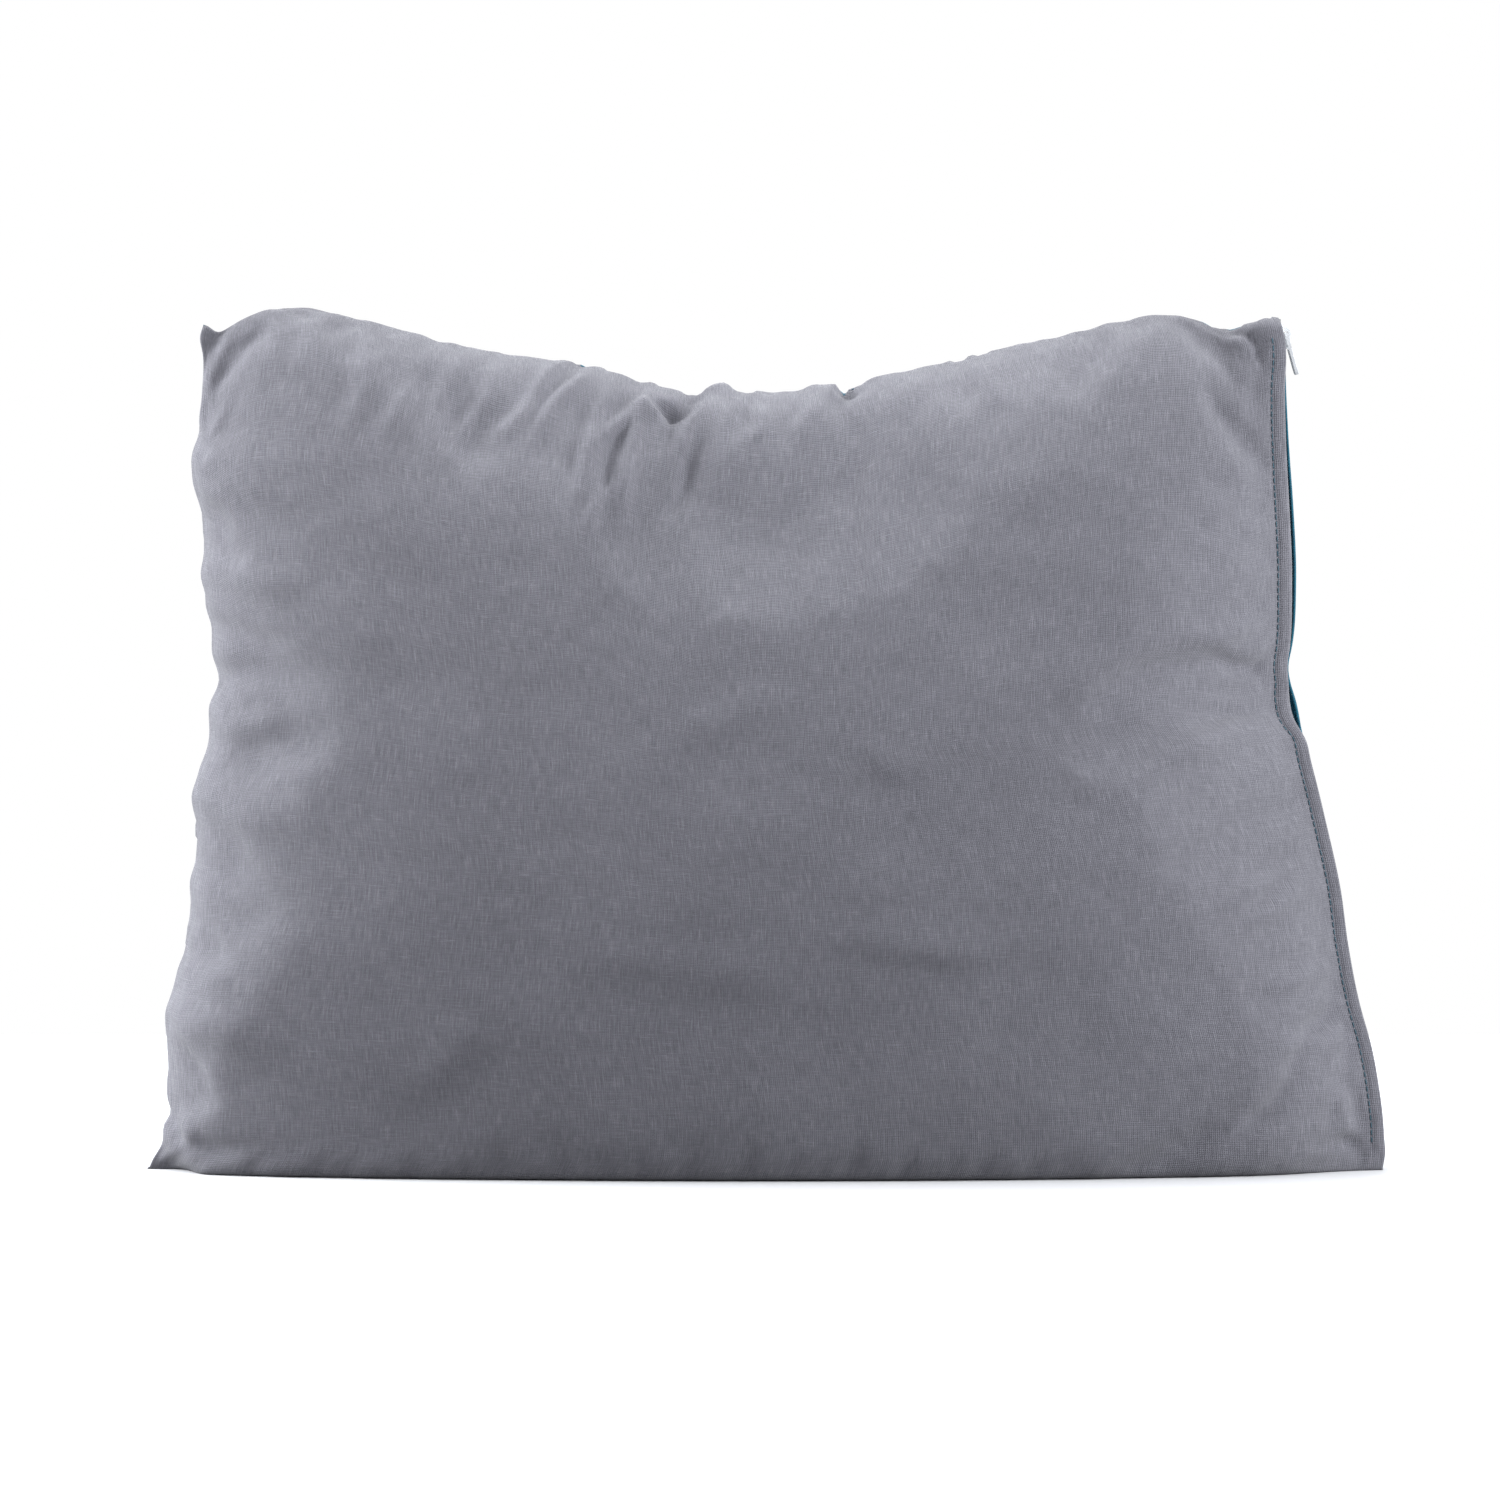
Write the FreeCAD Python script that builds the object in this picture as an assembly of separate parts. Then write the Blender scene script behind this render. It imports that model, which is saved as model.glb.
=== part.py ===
"""Camp pillow: a stuffed insert inside a zipped two-tone fabric cover, standing on its long edge.

Millimetres, +Z up. +X runs along the long edge towards the zip, +Y points from the front panel to the
rear panel. The origin is the middle of the flattened long edge that the pillow stands on.
"""
import FreeCAD, Part
import math
import os

Vector = FreeCAD.Vector

# ---- driving dimensions -------------------------------------------------------------------------
WIDTH = 600.0             # along X at the floor, ear tip to zip hem
HEIGHT = 419.4            # floor to the highest lobe of the top seam
THICKNESS = 160.0         # front to back where the fill is deepest

LEFT_EDGE = [             # (share of the height, distance in from the ear tip)
    (0.00, 0.0), (0.11, 7.5), (0.31, 17.5), (0.45, 20.5), (0.585, 30.5),
    (0.725, 25.5), (0.815, 21.5), (0.91, 26.5), (1.00, 28.5),
]
TOP_EDGE = [              # (share of the way from the upper ear to the zip hem, drop below HEIGHT)
    (0.00, 10.0), (0.04, 5.0), (0.09, 0.0), (0.16, 7.5), (0.24, 17.0), (0.38, 27.5),
    (0.48, 41.0), (0.55, 39.5), (0.62, 39.0), (0.70, 28.5), (0.82, 14.0), (0.915, 4.5), (1.00, 9.5),
]
ZIP_TOP_INSET = 48.6      # the zip edge of the front panel, in from the bottom corner, at its top,
ZIP_MIDDLE_INSET = 41.3   # half way up
ZIP_FOOT_HEIGHT = 14.6    # and the height at which it reaches the full width
ZIP_TOP_DROP = 11.7       # the height of its upper point, below HEIGHT
CORNER_DROP = 5.0         # the top of the zip corner, below HEIGHT
CORNER_TURN_IN = 4.0      # how far the upper end of the zip edge turns in, over
CORNER_TURN_RUN = 25.0    # this height
FOOT_TURN_IN = 8.0        # the same at its lower end
FOOT_TURN_RUN = 30.0

FLOOR_SHARE = 0.22        # how far past the floor the bulge would run on; a larger share is a wider foot
FULLNESS = 0.5            # power of the bulge: smaller is fuller at the edges
ZIP_SHOULDER = 110.0      # how far in from the zip the bulge is held down by it
SHOULDER = 24.0           # where the seam outline starts to follow the zip, in from the fold

COVER_WALL = 0.9          # cover cloth with its backing, in the middle of a panel
COVER_EDGE = 1.2          # the same cloth at the closing seam
INSERT_EASE = 1.2         # between the cover and the insert
INSERT_WALL = 0.6
INSERT_EDGE = 1.0
FILL_EASE = 0.3
THREAD = 0.45             # sewing thread
STITCH = 3.0
SEAM_STITCHES = 60        # shown on each hidden seam edge,
SEAM_STITCH_START = 0.04  # from this share of it
SEAM_STITCH_RUN = 0.88    # over this share of it

HEM_WIDTH = 7.5           # folded hem beside the zip
TOPSTITCH_INSET = 1.0     # topstitch, in from the hem's inner edge
TOPSTITCH_TOP = 14.0      # and where it starts, below the zip corner
TOPSTITCH_FOOT = 10.0     # and ends, above the foot of the zip edge
HEM_WALL = 1.4            # the folded edge is two layers thick
HEM_BEVEL = 0.6           # the folded edge slopes in by this much
HEM_SLOPE = 0.3           # how fast the hem leans away from the zip
HEM_GAP = 6.4             # fold to the middle of the zip
FRONT_HEM_RISE = 3.8      # folds, outward of the coil's middle
REAR_HEM_PROUD = 1.6      # the rear hem stands this much further out, so it shows from the front
INSERT_ZIP_INSET = 18.0   # the insert's own edge, in from the folds

TAPE = 0.4                # woven zip tape
TAPE_CLEARANCE = 0.25     # tape to slider
TAPE_RETURN = 11.0        # how far the tape turns back under the hem
COIL_WIDTH = 2.1          # one half of the coil, across the zip
COIL_HEIGHT = 2.4
COIL_GAP = 0.1            # between the two halves, and between them and the bottom stop
COIL_TO_POST = 0.4
STOP_LENGTH = 2.2
STOP_WALL = 0.5
STOP_PARTING = 0.7        # top stop to the middle of the zip
STOP_REACH = 1.6          # top stop, out over the tape from the coil's root
STOP_CLEARANCE = 0.2      # top stop to slider
BOTTOM_STOP_PROUD = 0.3   # bottom stop, above the coil
ZIP_TOP_MARGIN = 1.8      # top stops, inside the corner
ZIP_FOOT_MARGIN = 9.0     # tape end above the floor
TAPE_TAIL = 1.0           # tape past the stops

SLIDER_LENGTH = 14.0
SLIDER_WIDTH = 9.6
SLIDER_NECK = 8.2         # its narrow end, towards the closed chain
SLIDER_BROAD_RUN = 4.5    # length of its broad end
SLIDER_CORNER = 1.3       # cut off its broad corners
SLIDER_ROUNDING = 0.45
SLIDER_PLATE = 1.1
CHANNEL_CLEARANCE = 0.3   # coil to slider, each side
CHANNEL_RUN = 3.0         # the channel runs on past both ends, to leave them open
FLANGE = 1.0
TAPE_SLOT = 1.0
POST_LENGTH = 3.6         # the wedge that parts the coils,
POST_SHANK = 0.8          # its full-width part
POST_TOP = 1.0            # and its upper end, below the slider's
POST_HALF = 1.1
BITE = 0.3                # how deep one joined piece runs into another
CROWN_WIDTH = 3.0
CROWN_HEIGHT = 4.2
CROWN_BAR = 1.5
CROWN_END = 6.4           # the crown's two ends, from the slider's middle
CROWN_TOE = 0.5           # its height at its ends
CROWN_HEEL_RUN = 2.2      # the slopes up from its lower
CROWN_HEAD_RUN = 1.2      # and upper ends
CROWN_CHAMFER = 1.2
CROWN_ROUNDING = 0.4
PIVOT_Z = 2.4             # the pull's bar, above the slider's middle
PULL_LENGTH = 20.5        # pivot to the rounded end
PULL_WIDTH = 5.6
PULL_THICKNESS = 2.3
PULL_ARM = 7.6            # pivot to the end of the stirrup's arms
PULL_ROUNDING = 0.6
PULL_BAR = 1.6            # the round bar in the crown's window
PULL_CLEARANCE = 0.35
EYE_PROUD = 0.001         # keeps the arms' round ends off the bar's own surface
PULL_LEAN = 18.0          # degrees out from the hanging line, lying on the crown's heel
TRAVEL_MARGIN = 1.0       # slider to the bottom stop when open

# ---- worked out from them -----------------------------------------------------------------------
HALF_WIDTH = WIDTH / 2
DEPTH = THICKNESS / 2
LINE_UP = Vector(0, -1, 0)  # turning about this moves a point on the zip downwards


def circle_through(a, b, c):
    """Centre (x, z) and radius of the circle through three points."""
    (ax, az), (bx, bz), (cx, cz) = a, b, c
    d = 2 * (ax * (bz - cz) + bx * (cz - az) + cx * (az - bz))
    sa, sb, sc = ax * ax + az * az, bx * bx + bz * bz, cx * cx + cz * cz
    x = (sa * (bz - cz) + sb * (cz - az) + sc * (az - bz)) / d
    z = (sa * (cx - bx) + sb * (ax - cx) + sc * (bx - ax)) / d
    return x, z, math.hypot(ax - x, az - z)


EDGE_TOP_Z = HEIGHT - ZIP_TOP_DROP
ARC_X, ARC_Z, EDGE_RADIUS = circle_through(
    (HALF_WIDTH - ZIP_TOP_INSET, EDGE_TOP_Z),
    (HALF_WIDTH - ZIP_MIDDLE_INSET, (EDGE_TOP_Z + ZIP_FOOT_HEIGHT) / 2),
    (HALF_WIDTH, ZIP_FOOT_HEIGHT),
)
COIL_RADIUS = EDGE_RADIUS + FRONT_HEM_RISE
ARC_CENTRE = Vector(ARC_X, 0, ARC_Z)


def smooth_curve(points):
    """A function giving the smooth curve's second value at any first value in its range."""
    curve = Part.BSplineCurve()
    curve.interpolate(Points=[Vector(a, b, 0) for a, b in points], Parameters=[a for a, b in points])
    return lambda at: curve.value(min(max(at, points[0][0]), points[-1][0])).y


left_inset = smooth_curve(LEFT_EDGE)
top_drop = smooth_curve(TOP_EDGE)


def left_x(z):
    return -HALF_WIDTH + left_inset(z / HEIGHT)


def zip_edge_x(z, inward):
    """X of the line that runs inward of the front fold by a distance, with the rounded corners."""
    radius = EDGE_RADIUS + inward
    x = ARC_X - math.sqrt(radius ** 2 - (z - ARC_Z) ** 2)
    foot = max(0.0, 1 - z / FOOT_TURN_RUN)
    top = max(0.0, 1 - (HEIGHT - CORNER_DROP - z) / CORNER_TURN_RUN)
    return x - FOOT_TURN_IN * foot ** 2 - CORNER_TURN_IN * top ** 2


TOP_LEFT_X = left_x(HEIGHT - top_drop(0))
TOP_RIGHT_X = zip_edge_x(HEIGHT - top_drop(1), SHOULDER)


def top_z(x):
    """Height of the top seam, as far as the zip's shoulder."""
    return HEIGHT - top_drop((x - TOP_LEFT_X) / (TOP_RIGHT_X - TOP_LEFT_X))


def corner_z(inward):
    """Height of the panel's upper end, a distance in from the zip fold."""
    if inward >= SHOULDER:
        return top_z(zip_edge_x(HEIGHT - top_drop(1), inward))
    share = (inward / SHOULDER) ** 2
    return HEIGHT - CORNER_DROP + share * (CORNER_DROP - top_drop(1))


def angle_at(z, radius=COIL_RADIUS):
    """Angle about the arc's centre, in degrees, of the zip point at a height."""
    return 180 + math.degrees(math.asin((ARC_Z - z) / radius))


def zip_point(rise, y, angle):
    """A point beside the zip: rise is outward from the coil's middle."""
    turn = math.radians(angle)
    reach = COIL_RADIUS - rise
    return Vector(ARC_X + reach * math.cos(turn), y, ARC_Z + reach * math.sin(turn))


def along(distance, radius=COIL_RADIUS):
    """Degrees of arc in a distance along the zip."""
    return math.degrees(distance / radius)


# ---- the pillow's layers ------------------------------------------------------------------------
COLUMNS = 32              # closest at the ear side; the last two make way for the hem's own
COLUMN_SHARES = [(1 - math.cos(math.pi * k / COLUMNS)) / 2 for k in range(COLUMNS - 2)] + [1.0]
ROWS = 20


class Layer:
    """One closed surface of the pillow, cover or insert, set in from the outermost one."""

    def __init__(self, edge=0.0, base=0.0, shrink=0.0, zip_inset=0.0, gap=0.0, wall=0.0):
        self.edge = edge            # in from the seam outline
        self.base = base            # height of its flat foot
        self.depth = DEPTH - shrink
        self.zip_inset = zip_inset  # in from the zip folds
        self.gap = gap              # half the width left open at the zip
        self.wall = wall            # taken off the hem's depth

    def right(self, v, inward):
        """(x, z) on the line that runs inward of this layer's zip side by a distance."""
        inward += self.zip_inset
        z = self.base + v * (corner_z(inward) - self.edge - self.base)
        return zip_edge_x(z, inward), z

    def outline(self, u, v):
        """(x, z) in the seam plane: u runs from the ear side to the shoulder, v from the floor up."""
        top_left_z = top_z(TOP_LEFT_X + self.edge) - self.edge
        left_z = self.base + v * (top_left_z - self.base)
        left = (left_x(left_z) + self.edge, left_z)
        right = self.right(v, SHOULDER)
        low_left = (left_x(self.base) + self.edge, self.base)
        low_right = self.right(0, SHOULDER)
        top_left = (left_x(top_left_z) + self.edge, top_left_z)
        top_right = self.right(1, SHOULDER)
        top_x = top_left[0] + u * (top_right[0] - top_left[0])
        top = (top_x, top_z(top_x) - self.edge)
        low = (low_left[0] + u * (low_right[0] - low_left[0]), self.base)
        return tuple(
            (1 - v) * low[k] + v * top[k] + (1 - u) * left[k] + u * right[k]
            - (1 - u) * (1 - v) * low_left[k] - u * (1 - v) * low_right[k]
            - (1 - u) * v * top_left[k] - u * v * top_right[k]
            for k in (0, 1)
        )

    def bulge(self, share, v):
        """Depth of the stuffed body at a share of the width, between its two side seams."""
        if share <= 0 or share >= 1 or v >= 1:
            return 0.0
        across = math.sin(math.pi * share)
        rise = math.sin(math.pi * (v + FLOOR_SHARE) / (1 + FLOOR_SHARE))
        return self.depth * (across * rise) ** FULLNESS

    def held_depth(self, share, inward, v):
        """The bulge, held down towards the zip, where a cover's hem fades into it."""
        if not self.gap:
            return self.bulge(share, v) * min(1, 0.5 + 0.5 * inward / ZIP_SHOULDER)
        free = min(1, max(0, (inward - HEM_WIDTH) / ZIP_SHOULDER))
        hem = self.hem_depth(HEM_WIDTH) * (1 - free) ** 2
        return hem + self.bulge(share, v) * free * (2 - free)

    def hem_depth(self, inward):
        return self.gap + HEM_SLOPE * inward - self.wall * min(1, 2 * inward / HEM_WIDTH)

    def row(self, v):
        """Points (x, depth, z) across one row, from the ear side to the fold."""
        points = []
        end_x = self.right(v, 0)[0]
        start_x = self.outline(0, v)[0]
        for u in COLUMN_SHARES:
            x, z = self.outline(u, v)
            points.append((x, self.held_depth((x - start_x) / (end_x - start_x), end_x - x, v), z))
        for inward in (HEM_WIDTH, HEM_WIDTH / 2, 0.0):
            x, z = self.right(v, inward)
            if self.gap:
                depth = self.hem_depth(inward)
            else:
                depth = self.held_depth((x - start_x) / (end_x - start_x), inward, v)
            points.append((x, depth, z))
        return points

    def surface(self, side):
        """The bulged surface: side is -1 for the front and +1 for the rear."""
        grid = []
        for j in range(ROWS + 1):
            v = (1 - math.cos(math.pi * j / ROWS)) / 2
            grid.append([Vector(x, side * depth, z) for x, depth, z in self.row(v)])
        surface = Part.BSplineSurface()
        surface.interpolate(grid)
        return surface

    def face(self, side):
        return self.surface(side).toShape()


def edge_between(face, a, b):
    """The face's edge that runs between two points."""
    for edge in face.Edges:
        ends = [edge.valueAt(edge.FirstParameter), edge.valueAt(edge.LastParameter)]
        if min(max((ends[0] - a).Length, (ends[1] - b).Length),
               max((ends[0] - b).Length, (ends[1] - a).Length)) < 1e-4:
            return edge
    raise ValueError("no such edge")


def corners(layer, side):
    low, top = layer.row(0), layer.row(1)
    return [Vector(x, side * depth, z) for x, depth, z in (low[0], low[-1], top[-1], top[0])]


def seam_foot(layer, side):
    """The straight edges of the flat foot: along the seam, then out to the zip fold."""
    low_left, low_right = corners(layer, side)[:2]
    if not layer.gap:
        return [Part.makeLine(low_left, low_right)]
    turn = Vector(low_right.x - 2 * SHOULDER, 0, layer.base)
    return [Part.makeLine(low_left, turn), Part.makeLine(turn, low_right)]


def flat_foot(layer, side, bulged):
    low_left, low_right = corners(layer, side)[:2]
    curve = edge_between(bulged, low_left, low_right)
    return Part.Face(Part.Wire(Part.sortEdges([curve] + seam_foot(layer, side))[0]))


def sewn_solid(faces):
    shell = Part.Compound(faces)
    shell.sewShape(1e-4)
    solid = Part.Solid(shell.Shells[0])
    if solid.Volume < 0:
        solid.reverse()
    return solid


def wall_solid(outer, inner, side):
    """A cloth panel: the space between two layers on one side of the seam plane."""
    outer_face, inner_face = outer.face(side), inner.face(side)
    faces = [outer_face, inner_face, flat_foot(outer, side, outer_face), flat_foot(inner, side, inner_face)]
    outer_corners, inner_corners = corners(outer, side), corners(inner, side)
    for a, b in ((1, 2), (2, 3), (3, 0)):
        faces.append(Part.makeRuledSurface(
            edge_between(outer_face, outer_corners[a], outer_corners[b]),
            edge_between(inner_face, inner_corners[a], inner_corners[b])))
    for outer_edge, inner_edge in zip(seam_foot(outer, side), seam_foot(inner, side)):
        faces.append(Part.makeRuledSurface(outer_edge, inner_edge))
    return sewn_solid(faces)


def filled_solid(layer):
    """The stuffing: all the space inside one layer, from two halves that meet in the seam plane."""
    halves = []
    for side in (-1, 1):
        bulged = layer.face(side)
        foot = flat_foot(layer, side, bulged)
        ends = corners(layer, side)
        rim = [edge_between(bulged, ends[a], ends[b]) for a, b in ((1, 2), (2, 3), (3, 0))]
        middle = Part.Face(Part.Wire(Part.sortEdges(rim + seam_foot(layer, side))[0]))
        halves.append(sewn_solid([bulged, foot, middle]))
    return Part.Compound(halves)


def cover_layers(proud):
    """The outer and inner surfaces of a cover panel whose hem stands proud at the zip."""
    outer = Layer(gap=HEM_GAP, zip_inset=-proud)
    inner = Layer(edge=COVER_EDGE, base=COVER_WALL, shrink=COVER_WALL, zip_inset=HEM_WALL - proud,
                  gap=HEM_GAP - HEM_BEVEL, wall=COVER_WALL - HEM_BEVEL)
    return outer, inner


FRONT_OUT, FRONT_IN = cover_layers(0.0)
REAR_OUT, REAR_IN = cover_layers(REAR_HEM_PROUD)
INSERT_SEAM = COVER_EDGE + THREAD + 2 * INSERT_EASE     # in from the cover's seam outline
INSERT_BASE = COVER_WALL + INSERT_EASE
INSERT_OUT = Layer(INSERT_SEAM, INSERT_BASE, INSERT_BASE, INSERT_ZIP_INSET)
INSERT_IN = Layer(INSERT_SEAM + INSERT_EDGE, INSERT_BASE + INSERT_WALL, INSERT_BASE + INSERT_WALL,
                  INSERT_ZIP_INSET + INSERT_EDGE)
FILL_INSET = INSERT_EDGE + THREAD + 2 * FILL_EASE       # in from the insert's own
FILL_BASE = INSERT_BASE + INSERT_WALL + FILL_EASE
FILL_OUT = Layer(INSERT_SEAM + FILL_INSET, FILL_BASE, FILL_BASE, INSERT_ZIP_INSET + FILL_INSET)


def seam_thread(outside, inside):
    """Stitches in the allowance between one layer's seam and the next one in, up the ear side and
    along the top."""
    surface = outside.surface(-1)
    inward = (inside.edge - outside.edge) / 2
    step = 0.1 / SEAM_STITCHES
    stitches = []
    for k in range(SEAM_STITCHES):
        share = SEAM_STITCH_START + SEAM_STITCH_RUN * (k + 0.5) / SEAM_STITCHES
        for here, ahead in ((surface.value(share, 0), surface.value(share + step, 0)),
                            (surface.value(1, share), surface.value(1, share + step))):
            run = (ahead - here).normalize()
            start = here + Vector(run.z, 0, -run.x) * inward
            stitches.append(Part.makeCylinder(THREAD / 2, STITCH, start, run))
    return Part.Compound(stitches)


# ---- the zip ------------------------------------------------------------------------------------
ZIP_TOP_Z = HEIGHT - CORNER_DROP - ZIP_TOP_MARGIN
SLIDER_TOP = angle_at(ZIP_TOP_Z) + along(STOP_LENGTH)   # the slider's upper end at rest
SLIDER_REST = SLIDER_TOP + along(SLIDER_LENGTH / 2)
TAPE_TOP = angle_at(ZIP_TOP_Z + TAPE_TAIL)
TAPE_FOOT = angle_at(ZIP_FOOT_MARGIN)
BOTTOM_STOP = TAPE_FOOT - along(STOP_LENGTH + TAPE_TAIL)
SLIDER_OPEN = BOTTOM_STOP - along(SLIDER_LENGTH / 2 + TRAVEL_MARGIN)
FLANGE_RISE = TAPE_SLOT / 2
TAPE_REACH = SLIDER_WIDTH / 2 + TAPE_CLEARANCE
COIL_INNER = COIL_GAP / 2
COIL_ROOT = COIL_INNER + COIL_WIDTH / 2     # where the tape's edge lies in the coil
CHANNEL = COIL_HEIGHT / 2 + CHANNEL_CLEARANCE
PLATE_FACE = CHANNEL + SLIDER_PLATE         # outer face of the slider's plate, from its middle
PIVOT_X = PLATE_FACE + CROWN_HEIGHT - CROWN_BAR - PULL_BAR / 2 - PULL_CLEARANCE


def arc_band(section, start, end):
    """A strip along the zip: section is a list of (rise, y), swept between two angles."""
    wire = Part.makePolygon([zip_point(rise, y, start) for rise, y in section + section[:1]])
    return Part.Face(wire).revolve(ARC_CENTRE, LINE_UP, end - start)


def tape(side):
    half = TAPE / 2
    inner = side * COIL_ROOT
    bend = side * (TAPE_REACH + TAPE)
    section = [
        (half, inner), (half, bend), (-TAPE_RETURN, bend),
        (-TAPE_RETURN, bend - side * TAPE), (-half, bend - side * TAPE), (-half, inner),
    ]
    return arc_band(section, TAPE_TOP, TAPE_FOOT)


def clasp(side, inner, outer):
    """Section of a bar slit from its outer side, so that it holds the tape's edge."""
    half, slit = COIL_HEIGHT / 2, TAPE / 2
    return [(rise, side * across) for rise, across in (
        (half, inner), (half, outer), (slit, outer), (slit, COIL_ROOT),
        (-slit, COIL_ROOT), (-slit, outer), (-half, outer), (-half, inner))]


def coil_half(side):
    """Coil round the tape's edge, from under the slider's post down to the bottom stop."""
    post_foot = SLIDER_TOP + along(POST_TOP + POST_LENGTH + COIL_TO_POST)
    return arc_band(clasp(side, COIL_INNER, COIL_INNER + COIL_WIDTH), post_foot, BOTTOM_STOP)


def top_stop(side):
    """A metal clip pinched over the tape's edge above the slider."""
    return arc_band(clasp(side, STOP_PARTING, COIL_ROOT + STOP_REACH),
                    SLIDER_TOP - along(STOP_LENGTH), SLIDER_TOP - along(STOP_CLEARANCE))


def bottom_stop():
    """One clip across both tapes, under the coil's last turn."""
    half = COIL_HEIGHT / 2 + BOTTOM_STOP_PROUD
    slit, root = TAPE / 2, COIL_ROOT
    reach = COIL_INNER + COIL_WIDTH + STOP_WALL
    section = [(half, -reach), (half, reach), (slit, reach), (slit, root), (-slit, root),
               (-slit, reach), (-half, reach), (-half, -reach), (-slit, -reach), (-slit, -root),
               (slit, -root), (slit, -reach)]
    return arc_band(section, BOTTOM_STOP + along(COIL_GAP), BOTTOM_STOP + along(STOP_LENGTH))


def topstitch(side, rise):
    """Thread along the hem's inner edge, just proud of the cloth."""
    inward = HEM_WIDTH - TOPSTITCH_INSET
    start = angle_at(HEIGHT - CORNER_DROP - TOPSTITCH_TOP)
    end = angle_at(ZIP_FOOT_HEIGHT + TOPSTITCH_FOOT)
    centre = zip_point(rise - inward, side * (HEM_GAP + HEM_SLOPE * inward + THREAD), start)
    tangent = Vector(-math.sin(math.radians(start)), 0, math.cos(math.radians(start)))
    ring = Part.Wire([Part.makeCircle(THREAD / 2, centre, tangent)])
    return Part.Face(ring).revolve(ARC_CENTRE, LINE_UP, end - start)


# ---- the slider and its pull, built upright at the origin: X out from the coil, Z up the zip ------
def box_between(low, high):
    return Part.makeBox(high[0] - low[0], high[1] - low[1], high[2] - low[2], Vector(*low))


def plan_outline(width_top, width_foot, x):
    """The slider's plan at one height: broad shoulders, narrow neck."""
    top, foot = SLIDER_LENGTH / 2, -SLIDER_LENGTH / 2
    wide, narrow = width_top / 2, width_foot / 2
    broad, corner = top - SLIDER_BROAD_RUN, SLIDER_CORNER
    points = [(-narrow, foot), (narrow, foot), (wide, broad), (wide, top - corner),
              (wide - corner, top), (-wide + corner, top), (-wide, top - corner), (-wide, broad)]
    corners_3d = [Vector(x, y, z) for y, z in points]
    return Part.Face(Part.makePolygon(corners_3d + corners_3d[:1]))


def slider_body():
    block = plan_outline(SLIDER_WIDTH, SLIDER_NECK, -PLATE_FACE).extrude(Vector(2 * PLATE_FACE, 0, 0))
    rims = [e for e in block.Edges if abs(e.CenterOfMass.x) > CHANNEL]
    block = block.makeFillet(SLIDER_ROUNDING, rims)
    hollow = plan_outline(SLIDER_WIDTH - 2 * FLANGE, SLIDER_NECK - 2 * FLANGE, -CHANNEL)
    hollow = hollow.extrude(Vector(2 * CHANNEL, 0, 0))
    up = Vector(0, 0, CHANNEL_RUN)
    hollow = hollow.fuse(hollow.translated(up)).fuse(hollow.translated(-up))
    slot = box_between((-FLANGE_RISE, -SLIDER_WIDTH, -SLIDER_LENGTH),
                       (FLANGE_RISE, SLIDER_WIDTH, SLIDER_LENGTH))
    body = block.cut(hollow).cut(slot)
    top = SLIDER_LENGTH / 2 - POST_TOP
    wedge = [(0, top - POST_LENGTH), (POST_HALF, top - POST_SHANK), (POST_HALF, top), (-POST_HALF, top),
             (-POST_HALF, top - POST_SHANK)]
    wedge_points = [Vector(-CHANNEL - BITE, y, z) for y, z in wedge]
    post = Part.Face(Part.makePolygon(wedge_points + wedge_points[:1]))
    post = post.extrude(Vector(2 * (CHANNEL + BITE), 0, 0))
    return body.fuse(post).fuse(crown()).removeSplitter()


def crown():
    """The arch that the pull hangs in, on the slider's outer plate."""
    half = CROWN_WIDTH / 2
    low, toe, high = PLATE_FACE - BITE, PLATE_FACE + CROWN_TOE, PLATE_FACE + CROWN_HEIGHT
    heel, head = CROWN_HEEL_RUN - CROWN_END, CROWN_END - CROWN_HEAD_RUN
    brow = high - CROWN_CHAMFER
    profile = [(-CROWN_END, low), (-CROWN_END, toe), (heel, brow), (heel + CROWN_CHAMFER, high),
               (head - CROWN_CHAMFER, high), (head, brow), (CROWN_END, toe), (CROWN_END, low)]
    outline = [Vector(x, -half, z) for z, x in profile]
    arch = Part.Face(Part.makePolygon(outline + outline[:1])).extrude(Vector(0, CROWN_WIDTH, 0))
    sides = [e for e in arch.Edges
             if abs(abs(e.CenterOfMass.y) - half) < 1e-6 and e.CenterOfMass.x > PLATE_FACE]
    arch = arch.makeFillet(CROWN_ROUNDING, sides)
    room = PULL_BAR + 2 * PULL_CLEARANCE
    window = box_between((high - CROWN_BAR - room, -CROWN_WIDTH, PIVOT_Z - room / 2),
                         (high - CROWN_BAR, CROWN_WIDTH, PIVOT_Z + room / 2))
    window = window.makeFillet(room / 3, [e for e in window.Edges if abs(e.CenterOfMass.y) < 1e-6])
    return arch.cut(window)


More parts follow.
